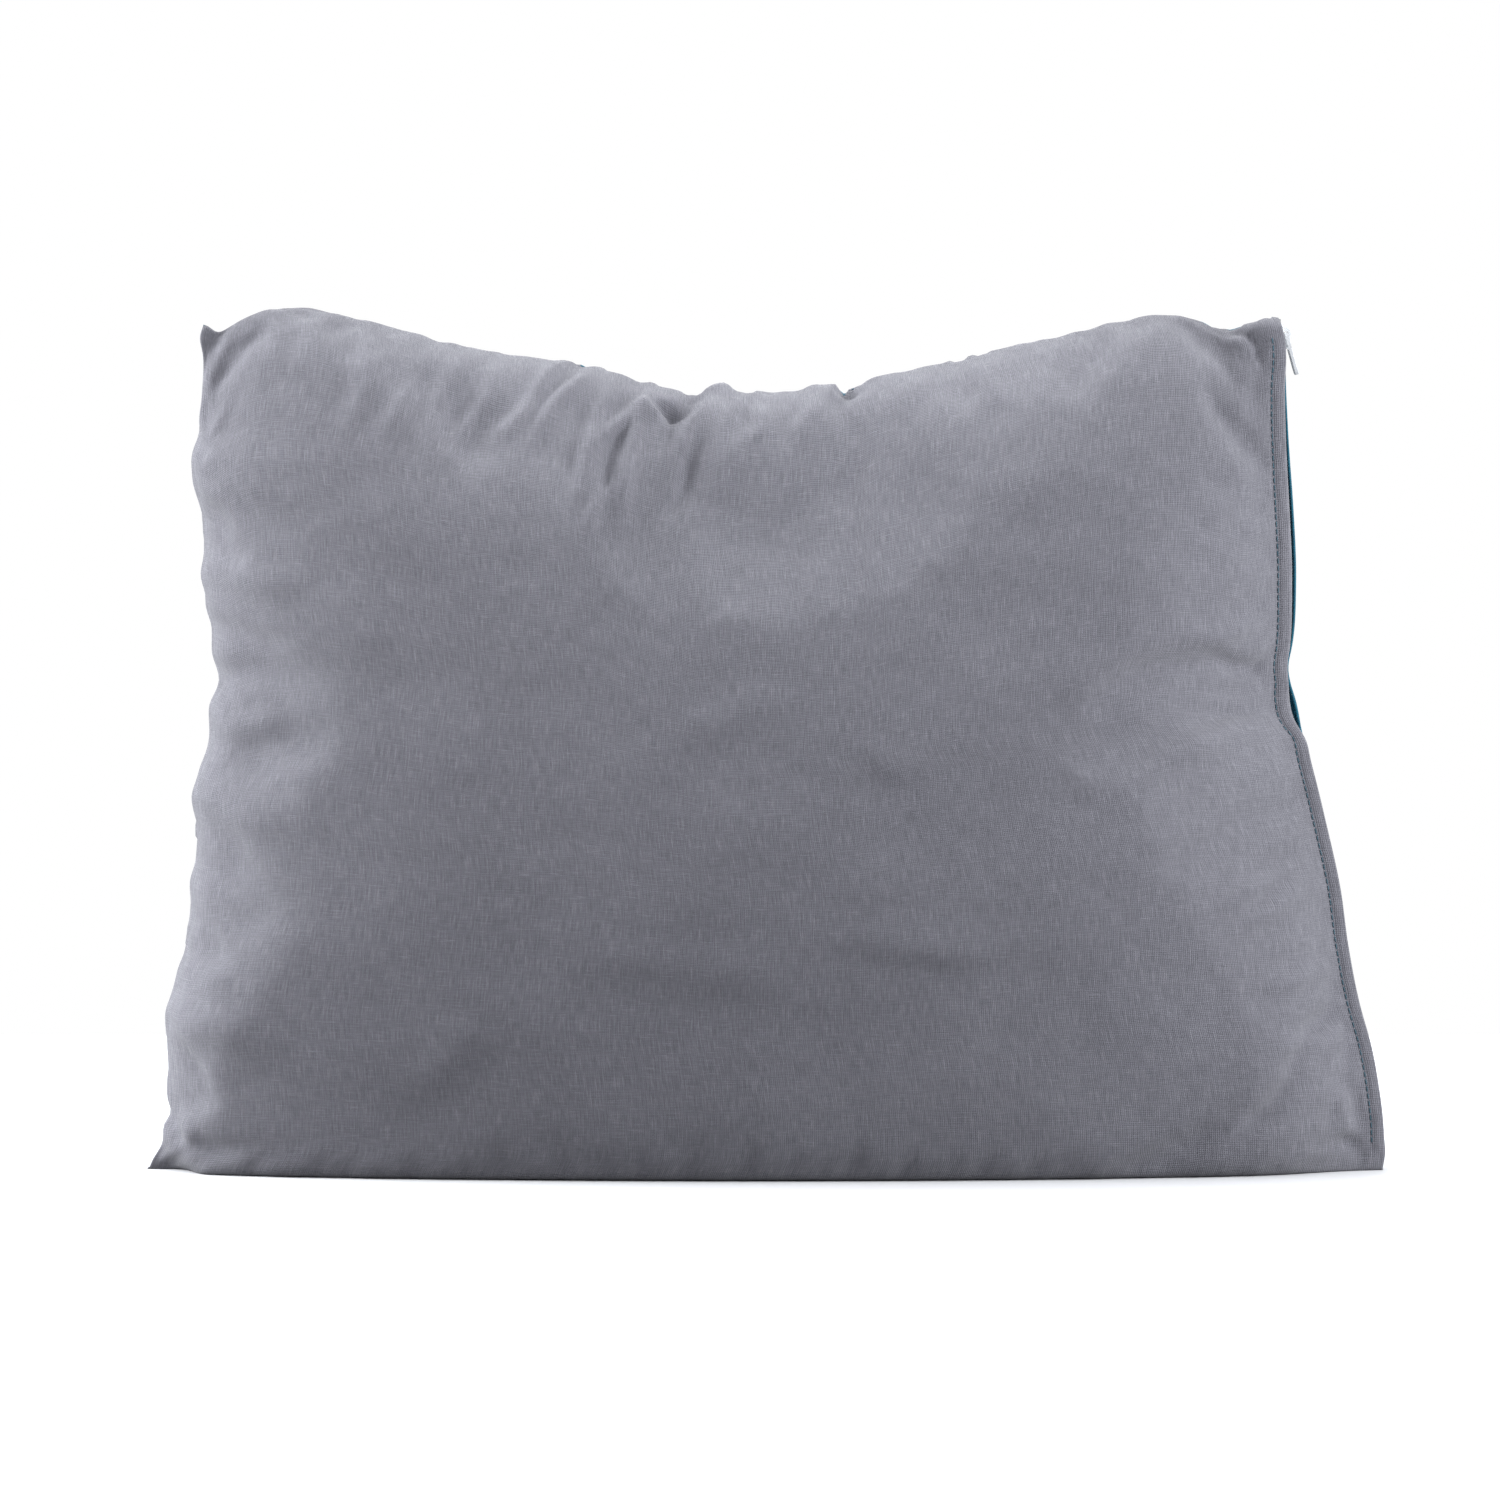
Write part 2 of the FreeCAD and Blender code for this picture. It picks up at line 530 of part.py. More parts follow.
def pull_tab():
    """A stirrup round the crown, then a flat tab with a rounded end, hanging down from the bar."""
    inner = CROWN_WIDTH / 2 + PULL_CLEARANCE
    half = PULL_WIDTH / 2
    bar = Part.makeCylinder(PULL_BAR / 2, PULL_WIDTH, Vector(0, -half, 0), Vector(0, 1, 0))
    arms = []
    for side in (-1, 1):
        low, high = sorted((side * inner, side * half))
        arm = box_between((-PULL_BAR / 2, low, -PULL_ARM), (PULL_BAR / 2, high, 0))
        eye = Part.makeCylinder(PULL_BAR / 2 + EYE_PROUD, high - low, Vector(0, low, 0), Vector(0, 1, 0))
        arms += [arm, eye]
    thick = PULL_THICKNESS / 2
    straight_end = -PULL_LENGTH + half
    blade = box_between((-thick, -half, straight_end), (thick, half, -PULL_ARM))
    tip = Part.makeCylinder(half, PULL_THICKNESS, Vector(-thick, 0, straight_end), Vector(1, 0, 0))
    blade = blade.fuse(tip).removeSplitter()
    rims = [e for e in blade.Edges
            if abs(abs(e.CenterOfMass.x) - thick) < 1e-6 and e.CenterOfMass.z < -PULL_ARM - PULL_ROUNDING / 2]
    blade = blade.makeFillet(PULL_ROUNDING, rims)
    return blade.multiFuse([bar] + arms).removeSplitter()


def on_zip(shape, angle):
    """Put a shape built at the origin onto the coil's middle line at an angle."""
    placed = shape.copy()
    placed.rotate(Vector(0, 0, 0), LINE_UP, angle - 180)
    placed.translate(zip_point(0, 0, angle))
    return placed


def hung_pull():
    tab = pull_tab()
    tab.rotate(Vector(0, 0, 0), LINE_UP, PULL_LEAN)
    tab.translate(Vector(PIVOT_X, 0, PIVOT_Z))
    return on_zip(tab, SLIDER_REST)


# ---- the nodes ----------------------------------------------------------------------------------
def build():
    return {
        "cover_front_panel": wall_solid(FRONT_OUT, FRONT_IN, -1),
        "cover_rear_panel": wall_solid(REAR_OUT, REAR_IN, 1),
        "closing_seam_thread": seam_thread(FRONT_IN, INSERT_OUT),
        "zip_tape_front": tape(-1),
        "zip_tape_rear": tape(1),
        "zip_coil_front": coil_half(-1),
        "zip_coil_rear": coil_half(1),
        "zip_top_stop_front": top_stop(-1),
        "zip_top_stop_rear": top_stop(1),
        "zip_bottom_stop": bottom_stop(),
        "topstitch_front": topstitch(-1, FRONT_HEM_RISE),
        "topstitch_rear": topstitch(1, FRONT_HEM_RISE + REAR_HEM_PROUD),
        "slider_body": on_zip(slider_body(), SLIDER_REST),
        "pull_tab": hung_pull(),
        "insert_shell_front": wall_solid(INSERT_OUT, INSERT_IN, -1),
        "insert_shell_rear": wall_solid(INSERT_OUT, INSERT_IN, 1),
        "insert_seam_thread": seam_thread(INSERT_IN, FILL_OUT),
        "insert_fill": filled_solid(FILL_OUT),
    }


os.makedirs("parts", exist_ok=True)
for name, shape in build().items():
    shape.exportStep(f"parts/{name}.step")
    b = shape.BoundBox
    print(f"{name:22} valid {shape.isValid()}  volume {shape.Volume / 1000:9.2f} cm3  "
          f"x {b.XMin:7.1f} {b.XMax:7.1f}  y {b.YMin:6.1f} {b.YMax:6.1f}  z {b.ZMin:6.1f} {b.ZMax:6.1f}")

pivot = on_zip(Part.Vertex(PIVOT_X, 0, PIVOT_Z), SLIDER_REST).Point
print(f"arc centre {ARC_X:.3f} 0 {ARC_Z:.3f}, coil radius {COIL_RADIUS:.2f}")
print(f"slider travel 0 to {SLIDER_OPEN - SLIDER_REST:.3f} degrees")
print(f"pull pivot {pivot.x:.3f} {pivot.y:.3f} {pivot.z:.3f}")
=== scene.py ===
"""Looks of the camp pillow: a grey and teal cover over a stuffed insert, with a zip up its right edge.

Lengths in the shaping code are millimetres; meshes are made in metres in the model's own frame.
"""
import bpy
import bmesh
import math
import random
import numpy as np
from mathutils import Matrix, Vector, noise
from mathutils.bvhtree import BVHTree


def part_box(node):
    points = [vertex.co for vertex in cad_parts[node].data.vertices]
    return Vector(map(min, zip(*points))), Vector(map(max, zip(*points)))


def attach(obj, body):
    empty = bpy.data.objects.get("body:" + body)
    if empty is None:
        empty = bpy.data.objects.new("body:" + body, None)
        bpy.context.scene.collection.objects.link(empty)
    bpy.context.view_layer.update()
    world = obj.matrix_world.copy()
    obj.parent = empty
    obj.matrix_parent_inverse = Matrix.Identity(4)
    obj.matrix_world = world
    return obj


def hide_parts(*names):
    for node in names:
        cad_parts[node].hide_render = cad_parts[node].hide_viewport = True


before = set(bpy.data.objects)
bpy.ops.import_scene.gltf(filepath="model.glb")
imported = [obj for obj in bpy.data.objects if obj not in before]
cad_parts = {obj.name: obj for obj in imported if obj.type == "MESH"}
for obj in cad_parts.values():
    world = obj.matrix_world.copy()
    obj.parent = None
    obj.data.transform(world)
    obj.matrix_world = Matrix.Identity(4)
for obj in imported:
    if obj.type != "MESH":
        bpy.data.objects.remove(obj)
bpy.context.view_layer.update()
scene = bpy.context.scene
bpy.ops.object.select_all(action="DESELECT")

MM = 0.001
front_low, front_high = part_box("cover_front_panel")
rear_low, rear_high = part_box("cover_rear_panel")
HALF_WIDTH = front_high.x / MM          # the cover's half width, floor to zip hem
HEIGHT = max(front_high.z, rear_high.z) / MM
DEPTH = rear_high.y / MM


# ---- camera and light -------------------------------------------------------------------------------
LENS = 148.3              # millimetres, on a 36 mm sensor
CAMERA_DISTANCE = 3.0
CAMERA_RISE = 2.0         # degrees above level
LOOKED_AT = (-0.0078, 0, 0.2039)
COOL = (0.95, 0.97, 1.0)


def aim(thing, target):
    thing.rotation_euler = (Vector(target) - thing.location).to_track_quat("-Z", "Y").to_euler()


def make_camera():
    data = bpy.data.cameras.new("Camera")
    data.lens = LENS
    data.sensor_width = 36
    data.clip_start, data.clip_end = 0.05, 50
    camera = bpy.data.objects.new("Camera", data)
    scene.collection.objects.link(camera)
    rise = math.radians(CAMERA_RISE)
    camera.location = Vector(LOOKED_AT) + CAMERA_DISTANCE * Vector((0, -math.cos(rise), math.sin(rise)))
    aim(camera, LOOKED_AT)
    scene.camera = camera


def soft_light(name, place, target, width, height, watts):
    data = bpy.data.lights.new(name, "AREA")
    data.shape = "RECTANGLE"
    data.size, data.size_y = width, height
    data.energy = watts
    data.color = COOL
    lamp = bpy.data.objects.new(name, data)
    scene.collection.objects.link(lamp)
    lamp.location = place
    aim(lamp, target)


def make_light():
    soft_light("Overhead", (-0.3, 0.2, 1.9), (0, 0, 0.25), 2.2, 1.6, 36)
    soft_light("KeyLeft", (-1.9, -0.05, 0.85), (-0.1, 0, 0.25), 1.3, 1.3, 58)
    soft_light("SideRight", (1.8, -0.7, 0.9), (0.1, 0, 0.28), 1.1, 1.2, 45)
    soft_light("Behind", (0.2, 1.8, 1.2), (0, 0, 0.25), 2.0, 1.2, 14)
    world = bpy.data.worlds.new("Studio")
    scene.world = world
    world.use_nodes = True
    nodes, links = world.node_tree.nodes, world.node_tree.links
    nodes.clear()
    out = nodes.new("ShaderNodeOutputWorld")
    mix = nodes.new("ShaderNodeMixShader")
    path = nodes.new("ShaderNodeLightPath")
    ambient = nodes.new("ShaderNodeBackground")
    ambient.inputs["Color"].default_value = (0.93, 0.95, 1.0, 1)
    ambient.inputs["Strength"].default_value = 0.29
    white = nodes.new("ShaderNodeBackground")
    white.inputs["Color"].default_value = (1, 1, 1, 1)
    white.inputs["Strength"].default_value = 1.0
    links.new(path.outputs["Is Camera Ray"], mix.inputs[0])
    links.new(ambient.outputs[0], mix.inputs[1])
    links.new(white.outputs[0], mix.inputs[2])
    links.new(mix.outputs[0], out.inputs["Surface"])
    scene.view_settings.view_transform = "Standard"


# ---- shader node groups -----------------------------------------------------------------------------
class Graph:
    """Short calls for building one node tree."""

    def __init__(self, tree):
        self.tree = tree

    def node(self, kind, **settings):
        made = self.tree.nodes.new(kind)
        for key, value in settings.items():
            setattr(made, key, value)
        return made

    def feed(self, socket, value):
        if isinstance(value, bpy.types.NodeSocket):
            self.tree.links.new(value, socket)
        elif value is not None:
            socket.default_value = value

    def math(self, operation, a, b=None):
        made = self.node("ShaderNodeMath", operation=operation)
        for socket, value in zip(made.inputs, (a, b)):
            self.feed(socket, value)
        return made.outputs[0]

    def between(self, value, low, high, to_low=0.0, to_high=1.0):
        made = self.node("ShaderNodeMapRange")
        self.feed(made.inputs["Value"], value)
        ends = {"From Min": low, "From Max": high, "To Min": to_low, "To Max": to_high}
        for label, number in ends.items():
            self.feed(made.inputs[label], number)
        return made.outputs[0]

    def mix(self, share, a, b, blend="MIX"):
        made = self.node("ShaderNodeMix", data_type="RGBA", blend_type=blend)
        for place, value in ((0, share), (6, a), (7, b)):     # its factor and its two colours
            self.feed(made.inputs[place], value)
        return made.outputs[2]

    def noise(self, vector, scale, detail=2.0, rough=0.5):
        made = self.node("ShaderNodeTexNoise")
        self.feed(made.inputs["Vector"], vector)
        self.feed(made.inputs["Scale"], scale)
        self.feed(made.inputs["Detail"], detail)
        self.feed(made.inputs["Roughness"], rough)
        return made.outputs["Fac"]

    def stretched(self, vector, x, y, z=1.0):
        made = self.node("ShaderNodeVectorMath", operation="MULTIPLY")
        self.feed(made.inputs[0], vector)
        self.feed(made.inputs[1], (x, y, z))
        return made.outputs[0]


def new_group(name, inputs, outputs):
    group = bpy.data.node_groups.new(name, "ShaderNodeTree")
    for label, kind, value in inputs:
        socket = group.interface.new_socket(name=label, in_out="INPUT", socket_type=kind)
        if value is not None:
            socket.default_value = value
    for label, kind in outputs:
        group.interface.new_socket(name=label, in_out="OUTPUT", socket_type=kind)
    graph = Graph(group)
    return graph, graph.node("NodeGroupInput").outputs, graph.node("NodeGroupOutput").inputs


FLOAT, VECTOR = "NodeSocketFloat", "NodeSocketVector"


def woven_threads():
    """Plain weave from a map in metres: thread relief, and how light each thread is."""
    g, inp, out = new_group(
        "WovenThreads",
        [("Map", VECTOR, None), ("Threads per metre", FLOAT, 1100.0), ("Slub", FLOAT, 0.5),
         ("Unevenness", FLOAT, 0.25)],
        [("Relief", FLOAT), ("Tone", FLOAT), ("Slubs", FLOAT)])
    wander = g.noise(inp["Map"], 60.0, 2.0)
    split = g.node("ShaderNodeSeparateXYZ")
    g.feed(split.inputs[0], inp["Map"])
    drift = g.math("MULTIPLY", g.math("SUBTRACT", wander, 0.5), g.math("MULTIPLY", inp["Unevenness"], 8.0))
    waves = []
    for direction in (0, 1):
        count = g.math("ADD", g.math("MULTIPLY", split.outputs[direction], inp["Threads per metre"]), drift)
        waves.append(g.math("SINE", g.math("MULTIPLY", count, math.pi)))
    warp, weft = (g.math("ABSOLUTE", wave) for wave in waves)
    over = g.math("GREATER_THAN", g.math("MULTIPLY", *waves), 0.0)
    under = g.math("SUBTRACT", 1.0, over)
    weave = g.math("ADD", g.math("MULTIPLY", over, g.math("MULTIPLY", warp, g.math("SQRT", weft))),
                   g.math("MULTIPLY", under, g.math("MULTIPLY", weft, g.math("SQRT", warp))))
    upright = g.noise(g.stretched(inp["Map"], 1250.0, 95.0), 1.0, 3.0, 0.6)
    across = g.noise(g.stretched(inp["Map"], 105.0, 1250.0), 1.0, 3.0, 0.6)
    pair = g.math("ADD", g.math("MULTIPLY", over, upright), g.math("MULTIPLY", under, across))
    both = g.math("ADD", g.math("MULTIPLY", pair, 0.4),
                  g.math("ADD", g.math("MULTIPLY", upright, 0.45), g.math("MULTIPLY", across, 0.15)))
    slubs = g.math("MULTIPLY", g.between(g.math("MAXIMUM", upright, across), 0.6, 0.78), inp["Slub"])
    g.feed(out["Relief"], g.math("ADD", weave, g.math("MULTIPLY", slubs, 0.8)))
    g.feed(out["Tone"], both)
    g.feed(out["Slubs"], slubs)
    return g.tree


def handled_cloth():
    """Slow colour drift, fine fuzz and settled dust, over the whole of a cloth piece."""
    g, inp, out = new_group(
        "HandledCloth",
        [("Place", VECTOR, None), ("Patch size", FLOAT, 9.0), ("Fuzz size", FLOAT, 420.0)],
        [("Drift", FLOAT), ("Dust", FLOAT), ("Fuzz", FLOAT)])
    patches = g.noise(inp["Place"], inp["Patch size"], 4.0, 0.55)
    fuzz = g.noise(inp["Place"], inp["Fuzz size"], 3.0, 0.65)
    dust = g.math("MULTIPLY", g.between(patches, 0.5, 0.75), g.between(fuzz, 0.4, 0.7))
    g.feed(out["Drift"], patches)
    g.feed(out["Dust"], dust)
    g.feed(out["Fuzz"], fuzz)
    return g.tree


def rubbed_finish():
    """Fine scuffs, chips and moulding ripple for hard pieces."""
    g, inp, out = new_group(
        "RubbedFinish",
        [("Place", VECTOR, None), ("Scuff size", FLOAT, 900.0), ("Chip amount", FLOAT, 0.2)],
        [("Scuffs", FLOAT), ("Chips", FLOAT), ("Ripple", FLOAT)])
    scuffs = g.noise(g.stretched(inp["Place"], 1.0, 1.0, 4.0), inp["Scuff size"], 4.0, 0.7)
    coarse = g.noise(inp["Place"], g.math("MULTIPLY", inp["Scuff size"], 0.45), 3.0, 0.6)
    edge = g.math("SUBTRACT", 0.86, g.math("MULTIPLY", inp["Chip amount"], 0.5))
    g.feed(out["Scuffs"], scuffs)
    g.feed(out["Chips"], g.between(coarse, edge, g.math("ADD", edge, 0.03)))
    g.feed(out["Ripple"], coarse)
    return g.tree


def twisted_ply():
    """The slanting plies of sewing thread."""
    g, inp, out = new_group(
        "TwistedPly", [("Place", VECTOR, None), ("Plies per metre", FLOAT, 1500.0)],
        [("Ply", FLOAT), ("Tone", FLOAT)])
    split = g.node("ShaderNodeSeparateXYZ")
    g.feed(split.inputs[0], inp["Place"])
    slant = g.math("ADD", g.math("ADD", split.outputs[0], split.outputs[1]), split.outputs[2])
    turns = g.math("MULTIPLY", slant, g.math("MULTIPLY", inp["Plies per metre"], math.pi))
    g.feed(out["Ply"], g.math("ABSOLUTE", g.math("SINE", turns)))
    g.feed(out["Tone"], g.noise(inp["Place"], 300.0, 2.0))
    return g.tree


GROUPS = {
    "weave": woven_threads(), "handled": handled_cloth(), "rubbed": rubbed_finish(), "ply": twisted_ply(),
}


def new_material(name, **sockets):
    """A material with its Principled shader, and a Graph on its tree."""
    made = bpy.data.materials.new(name)
    made.use_nodes = True
    shader = made.node_tree.nodes["Principled BSDF"]
    for label, value in sockets.items():
        shader.inputs[label.replace("_", " ")].default_value = value
    return made, Graph(made.node_tree), shader


def placed(graph, key, **inputs):
    made = graph.node("ShaderNodeGroup", node_tree=GROUPS[key])
    for label, value in inputs.items():
        graph.feed(made.inputs[label.replace("_", " ")], value)
    return made.outputs


def bump(graph, shader, height, distance, strength=1.0):
    made = graph.node("ShaderNodeBump")
    made.inputs["Strength"].default_value = strength
    made.inputs["Distance"].default_value = distance
    graph.feed(made.inputs["Height"], height)
    graph.feed(shader.inputs["Normal"], made.outputs[0])


def woven_cloth(name, deep, pale, threads, slub, contrast, roughness, sheen, relief):
    """A heathered plain weave that follows the piece's own cloth map."""
    made, g, shader = new_material(name, Sheen_Weight=sheen, Sheen_Roughness=0.55)
    shader.inputs["Specular IOR Level"].default_value = 0.25
    cloth_map = g.node("ShaderNodeUVMap", uv_map="ClothMap").outputs[0]
    place = g.node("ShaderNodeTexCoord").outputs["Object"]
    weave = placed(g, "weave", Map=cloth_map, Threads_per_metre=threads, Slub=slub)
    handled = placed(g, "handled", Place=place)
    tone = g.between(weave["Tone"], 0.5 - contrast, 0.5 + contrast)
    colour = g.mix(tone, deep, pale)
    light = tuple(min(1, c * 1.5) for c in pale[:3]) + (1,)
    colour = g.mix(g.math("MULTIPLY", weave["Slubs"], 0.55), colour, light)
    drift_tone = g.between(handled["Drift"], 0.3, 0.7, 0.93, 1.05)
    # Painted shade: the colour is darkened, down to 0.86, where the weave's relief is low, in the gaps
    # between the threads.
    painted_gap_shade = g.between(weave["Relief"], 0.0, 0.7, 0.86, 1.02)
    drift_and_gap_shade = g.math("MULTIPLY", drift_tone, painted_gap_shade)
    # The random drift times the painted gap shade, as a grey that multiplies the colour.
    grey = g.node("ShaderNodeCombineColor")
    for socket in grey.inputs[:3]:
        g.feed(socket, drift_and_gap_shade)
    colour = g.mix(1.0, colour, grey.outputs[0], "MULTIPLY")
    colour = g.mix(g.math("MULTIPLY", handled["Dust"], 0.06), colour, (0.55, 0.55, 0.56, 1))
    g.feed(shader.inputs["Base Color"], colour)
    rough = g.between(handled["Fuzz"], 0.3, 0.7, roughness - 0.05, roughness + 0.05)
    g.feed(shader.inputs["Roughness"], rough)
    height = g.math("ADD", weave["Relief"], g.math("MULTIPLY", handled["Fuzz"], 0.35))
    bump(g, shader, height, relief)
    return made


def sewing_thread(name, deep, pale):
    made, g, shader = new_material(name, Sheen_Weight=0.2, Sheen_Roughness=0.4)
    place = g.node("ShaderNodeTexCoord").outputs["Object"]
    ply = placed(g, "ply", Place=place)
    # Painted shade and highlight: the colour runs from deep in the grooves between the plies to pale on their
    # crowns, times a random tone.
    g.feed(shader.inputs["Base Color"], g.mix(g.math("MULTIPLY", ply["Ply"], ply["Tone"]), deep, pale))
    g.feed(shader.inputs["Roughness"], g.between(ply["Tone"], 0.3, 0.7, 0.5, 0.65))
    bump(g, shader, ply["Ply"], 0.00012)
    return made


def webbing(name, deep, pale):
    """Woven zip tape: herringbone ribs on the piece's own coordinates."""
    made, g, shader = new_material(name, Sheen_Weight=0.15, Sheen_Roughness=0.5)
    place = g.node("ShaderNodeTexCoord").outputs["Object"]
    split = g.node("ShaderNodeSeparateXYZ")
    g.feed(split.inputs[0], place)
    turned = g.node("ShaderNodeCombineXYZ")
    g.feed(turned.inputs[0], g.math("ADD", split.outputs[1], split.outputs[0]))
    g.feed(turned.inputs[1], split.outputs[2])
    weave = placed(g, "weave", Map=turned.outputs[0], Threads_per_metre=1500.0, Slub=0.1,
                   Unevenness=0.05)
    handled = placed(g, "handled", Place=place, Patch_size=30.0)
    # Painted shade: the tape's colour is deep where the weave's relief is low, between the threads, and pale
    # where it is high, times a random tone.
    g.feed(shader.inputs["Base Color"], g.mix(g.math("MULTIPLY", weave["Relief"], weave["Tone"]), deep, pale))
    g.feed(shader.inputs["Roughness"], g.between(handled["Fuzz"], 0.3, 0.7, 0.62, 0.78))
    bump(g, shader, weave["Relief"], 0.0002)
    return made


def hard_finish(name, base, under, roughness, metallic, coat, chips, ripple, under_metal):
    made, g, shader = new_material(name, Coat_Roughness=0.12, Metallic=metallic)
    place = g.node("ShaderNodeTexCoord").outputs["Object"]
    rubbed = placed(g, "rubbed", Place=place, Chip_amount=chips)
    g.feed(shader.inputs["Base Color"], g.mix(rubbed["Chips"], base, under))
    g.feed(shader.inputs["Roughness"], g.between(rubbed["Scuffs"], 0.35, 0.7, roughness, roughness + 0.16))
    if coat:
        g.feed(shader.inputs["Coat Weight"], g.between(rubbed["Chips"], 0.0, 1.0, coat, 0.0))
    if under_metal:
        g.feed(shader.inputs["Metallic"], rubbed["Chips"])
    bump(g, shader, g.math("SUBTRACT", g.math("MULTIPLY", rubbed["Ripple"], ripple), rubbed["Chips"]),
         0.00006)
    return made


MATERIALS = {
    "grey_cloth": woven_cloth("GreyHeather", (0.158, 0.156, 0.182, 1), (0.268, 0.264, 0.300, 1),
                              1050.0, 0.5, 0.16, 0.86, 0.35, 0.00022),
    # The teal is lifted 12% above the cloth's own colour so that its shaded strip beside the zip reads
    # brighter: partly painted light.
    "teal_cloth": woven_cloth("TealCotton", (0.009, 0.112, 0.185, 1), (0.027, 0.212, 0.302, 1),
                              1050.0, 0.25, 0.2, 0.84, 0.3, 0.0002),
    "insert_cloth": woven_cloth("InsertTicking", (0.62, 0.60, 0.55, 1), (0.80, 0.78, 0.72, 1),
                                1400.0, 0.2, 0.2, 0.85, 0.2, 0.0002),
    "stuffing": woven_cloth("FibreFill", (0.80, 0.80, 0.79, 1), (0.93, 0.93, 0.92, 1),
                            300.0, 0.9, 0.25, 0.95, 0.6, 0.0016),
    # Threads: deep and pale are the ends of a range that is partly painted shade in the grooves between the
    # plies and partly random tone.
    "teal_thread": sewing_thread("TealThread", (0.030, 0.105, 0.150, 1), (0.125, 0.235, 0.290, 1)),
    "insert_thread": sewing_thread("NaturalThread", (0.60, 0.58, 0.52, 1), (0.82, 0.80, 0.75, 1)),
    # Zip tape: deep and pale are the ends of a range that is partly painted shade in the weave's low places
    # and partly random tone.
    "zip_tape": webbing("TealZipTape", (0.004, 0.048, 0.080, 1), (0.014, 0.125, 0.180, 1)),
    "zip_coil": hard_finish("CoilNylon", (0.62, 0.66, 0.68, 1), (0.45, 0.48, 0.50, 1),
                            0.32, 0.0, 0.3, 0.1, 0.4, False),
    "stop_metal": hard_finish("StopAluminium", (0.78, 0.79, 0.80, 1), (0.45, 0.46, 0.47, 1),
                              0.28, 1.0, 0.0, 0.3, 0.8, False),
    "slider_paint": hard_finish("SliderEnamel", (0.86, 0.88, 0.90, 1), (0.42, 0.42, 0.43, 1),
                                0.18, 0.0, 0.8, 0.12, 0.35, True),
}


# ---- the cover's shape ------------------------------------------------------------------------------
LEFT_EDGE = [             # (height, x) up the ear side
    (0, -300.5), (4, -299.5), (8, -296.5), (12, -294.0), (22, -292.8), (60, -292.6), (80, -292.2),
    (90, -289.8),
    (109, -286.0), (128, -282.5), (148, -279.5), (186, -279.6), (206, -274.8), (225, -270.9), (244, -269.4),
    (254, -271.0), (274, -274.2), (303, -275.0), (322, -276.6), (342, -278.6), (361, -275.8), (381, -273.4),
    (396, -273.0), (404, -274.5), (412, -272.0),
]
TOP_EDGE = [              # (x, height) along the top seam
    (-274, 410.5), (-270, 409.4), (-266, 406.4), (-260, 409.2), (-252, 414.2), (-241, 418.2),
    (-228, 419.4), (-203, 415.5),
    (-179, 410.4), (-155, 403.3), (-131, 398.8), (-106, 395.8), (-82, 392.0), (-58, 384.3), (-46, 382.0),
    (-34, 377.6), (-21, 381.2), (-9, 379.4), (15, 380.6), (27, 382.4), (39, 379.8), (51, 385.3), (76, 391.2),
    (100, 396.5), (124, 402.6), (148, 408.2), (173, 413.6), (185, 415.0), (209, 412.8), (221, 409.2),
    (233, 411.8), (241, 414.2), (247, 413.6), (256, 412.0),
]
ZIP_WANDER = [            # (height, how far the outermost hem stands out from the zip's own arc)
    (0, -5.0), (2, -4.5), (6, 0.2), (12, 1.1), (21, 1.9), (41, 2.6), (60, 2.7), (80, 1.4), (109, 2.5),
    (138, 5.5),
    (167, 5.7), (186, 5.0), (206, 3.2), (225, 1.1), (245, -2.6), (254, 0.0), (284, 3.8), (322, 4.4),
    (351, 3.3),
    (380, 2.0), (395, 1.0), (401, 0.2), (407, -1.2), (412, -2.8), (416, -5.2),
]
FRONT_SHORTFALL = [       # (height, how far the front hem stops short of the outermost one)
    (0, 0.0), (5, 1.6), (12, 1.4), (20, 0.0), (200, 0.0), (211, 0.4), (216, 3.6), (230, 3.8),
    (237, 0.8), (246, 0.2),
    (256, 0.9), (300, 1.9), (350, 2.1), (383, 1.4), (394, 0.3), (416, 0.0),
]
REAR_SHORTFALL = [(0, 0.0), (24, 0.6), (60, 1.6), (190, 1.8), (206, 0.6), (214, 0.0), (416, 0.0)]

ZIP_ARC_X, ZIP_ARC_Z = 1420.8, 352.72     # centre of the arc that the zip runs on
ZIP_FOLD_RADIUS = 1170.69
UPPER_EAR = ((-264, 409), (-275, 388))    # the lines that the two ears are pinched along
LOWER_EAR = ((-297, 11), (-282, -1))
COIL_INSET = 3.8          # the coil's middle, in from the folds
HEM_WIDTH = 7.5
STITCH_INSET = 1.0        # topstitch, in from the hem's inner edge
HEM_GAP = 7.0             # each hem's fold, out from the middle of the zip
HEM_SLOPE = 0.28
HEM_LINES = [5.8, 3.8, 1.9, 0.6, 0.0]     # lines of the mesh inside the hem, in from its fold
ZIP_SHOULDER = 58.0       # how far in from the hem the bulge is held down by it
FLOOR_SHARE = 0.22        # how far past the floor the bulge would run on
FULL_EAR_SIDE, FULL_ZIP_SIDE, FULL_TOP = 0.38, 0.48, 0.45     # powers of the bulge: smaller is boxier
EAR_TOP_X = -273.5
CORNER_HEIGHT = 414.4     # where the hem's fold meets the top seam
CORNER_CLOSING = 7.0      # the hems come together over this height, above the slider
PINCHED_DEPTH = 1.9       # half the thickness of a pinched ear
PANEL_WIDTH, PANEL_HEIGHT = 0.615, 0.475  # metres of cloth in a panel laid flat, for its cloth map
FOOT_CLOTH = 0.008        # metres of cloth in each row of the foot
COVER_CLOTH, HEM_CLOTH, INSERT_CLOTH = 0.8, 1.3, 0.6
COLUMNS, ROWS, FOOT_ROWS = 120, 88, 7

SWELL_FRAMES = 20         # length of the stuffing simulation
SWELL_AT_SEAM, SWELL_INSIDE, SWELL_RUN = 3, 8, 90     # how far it may move the cloth

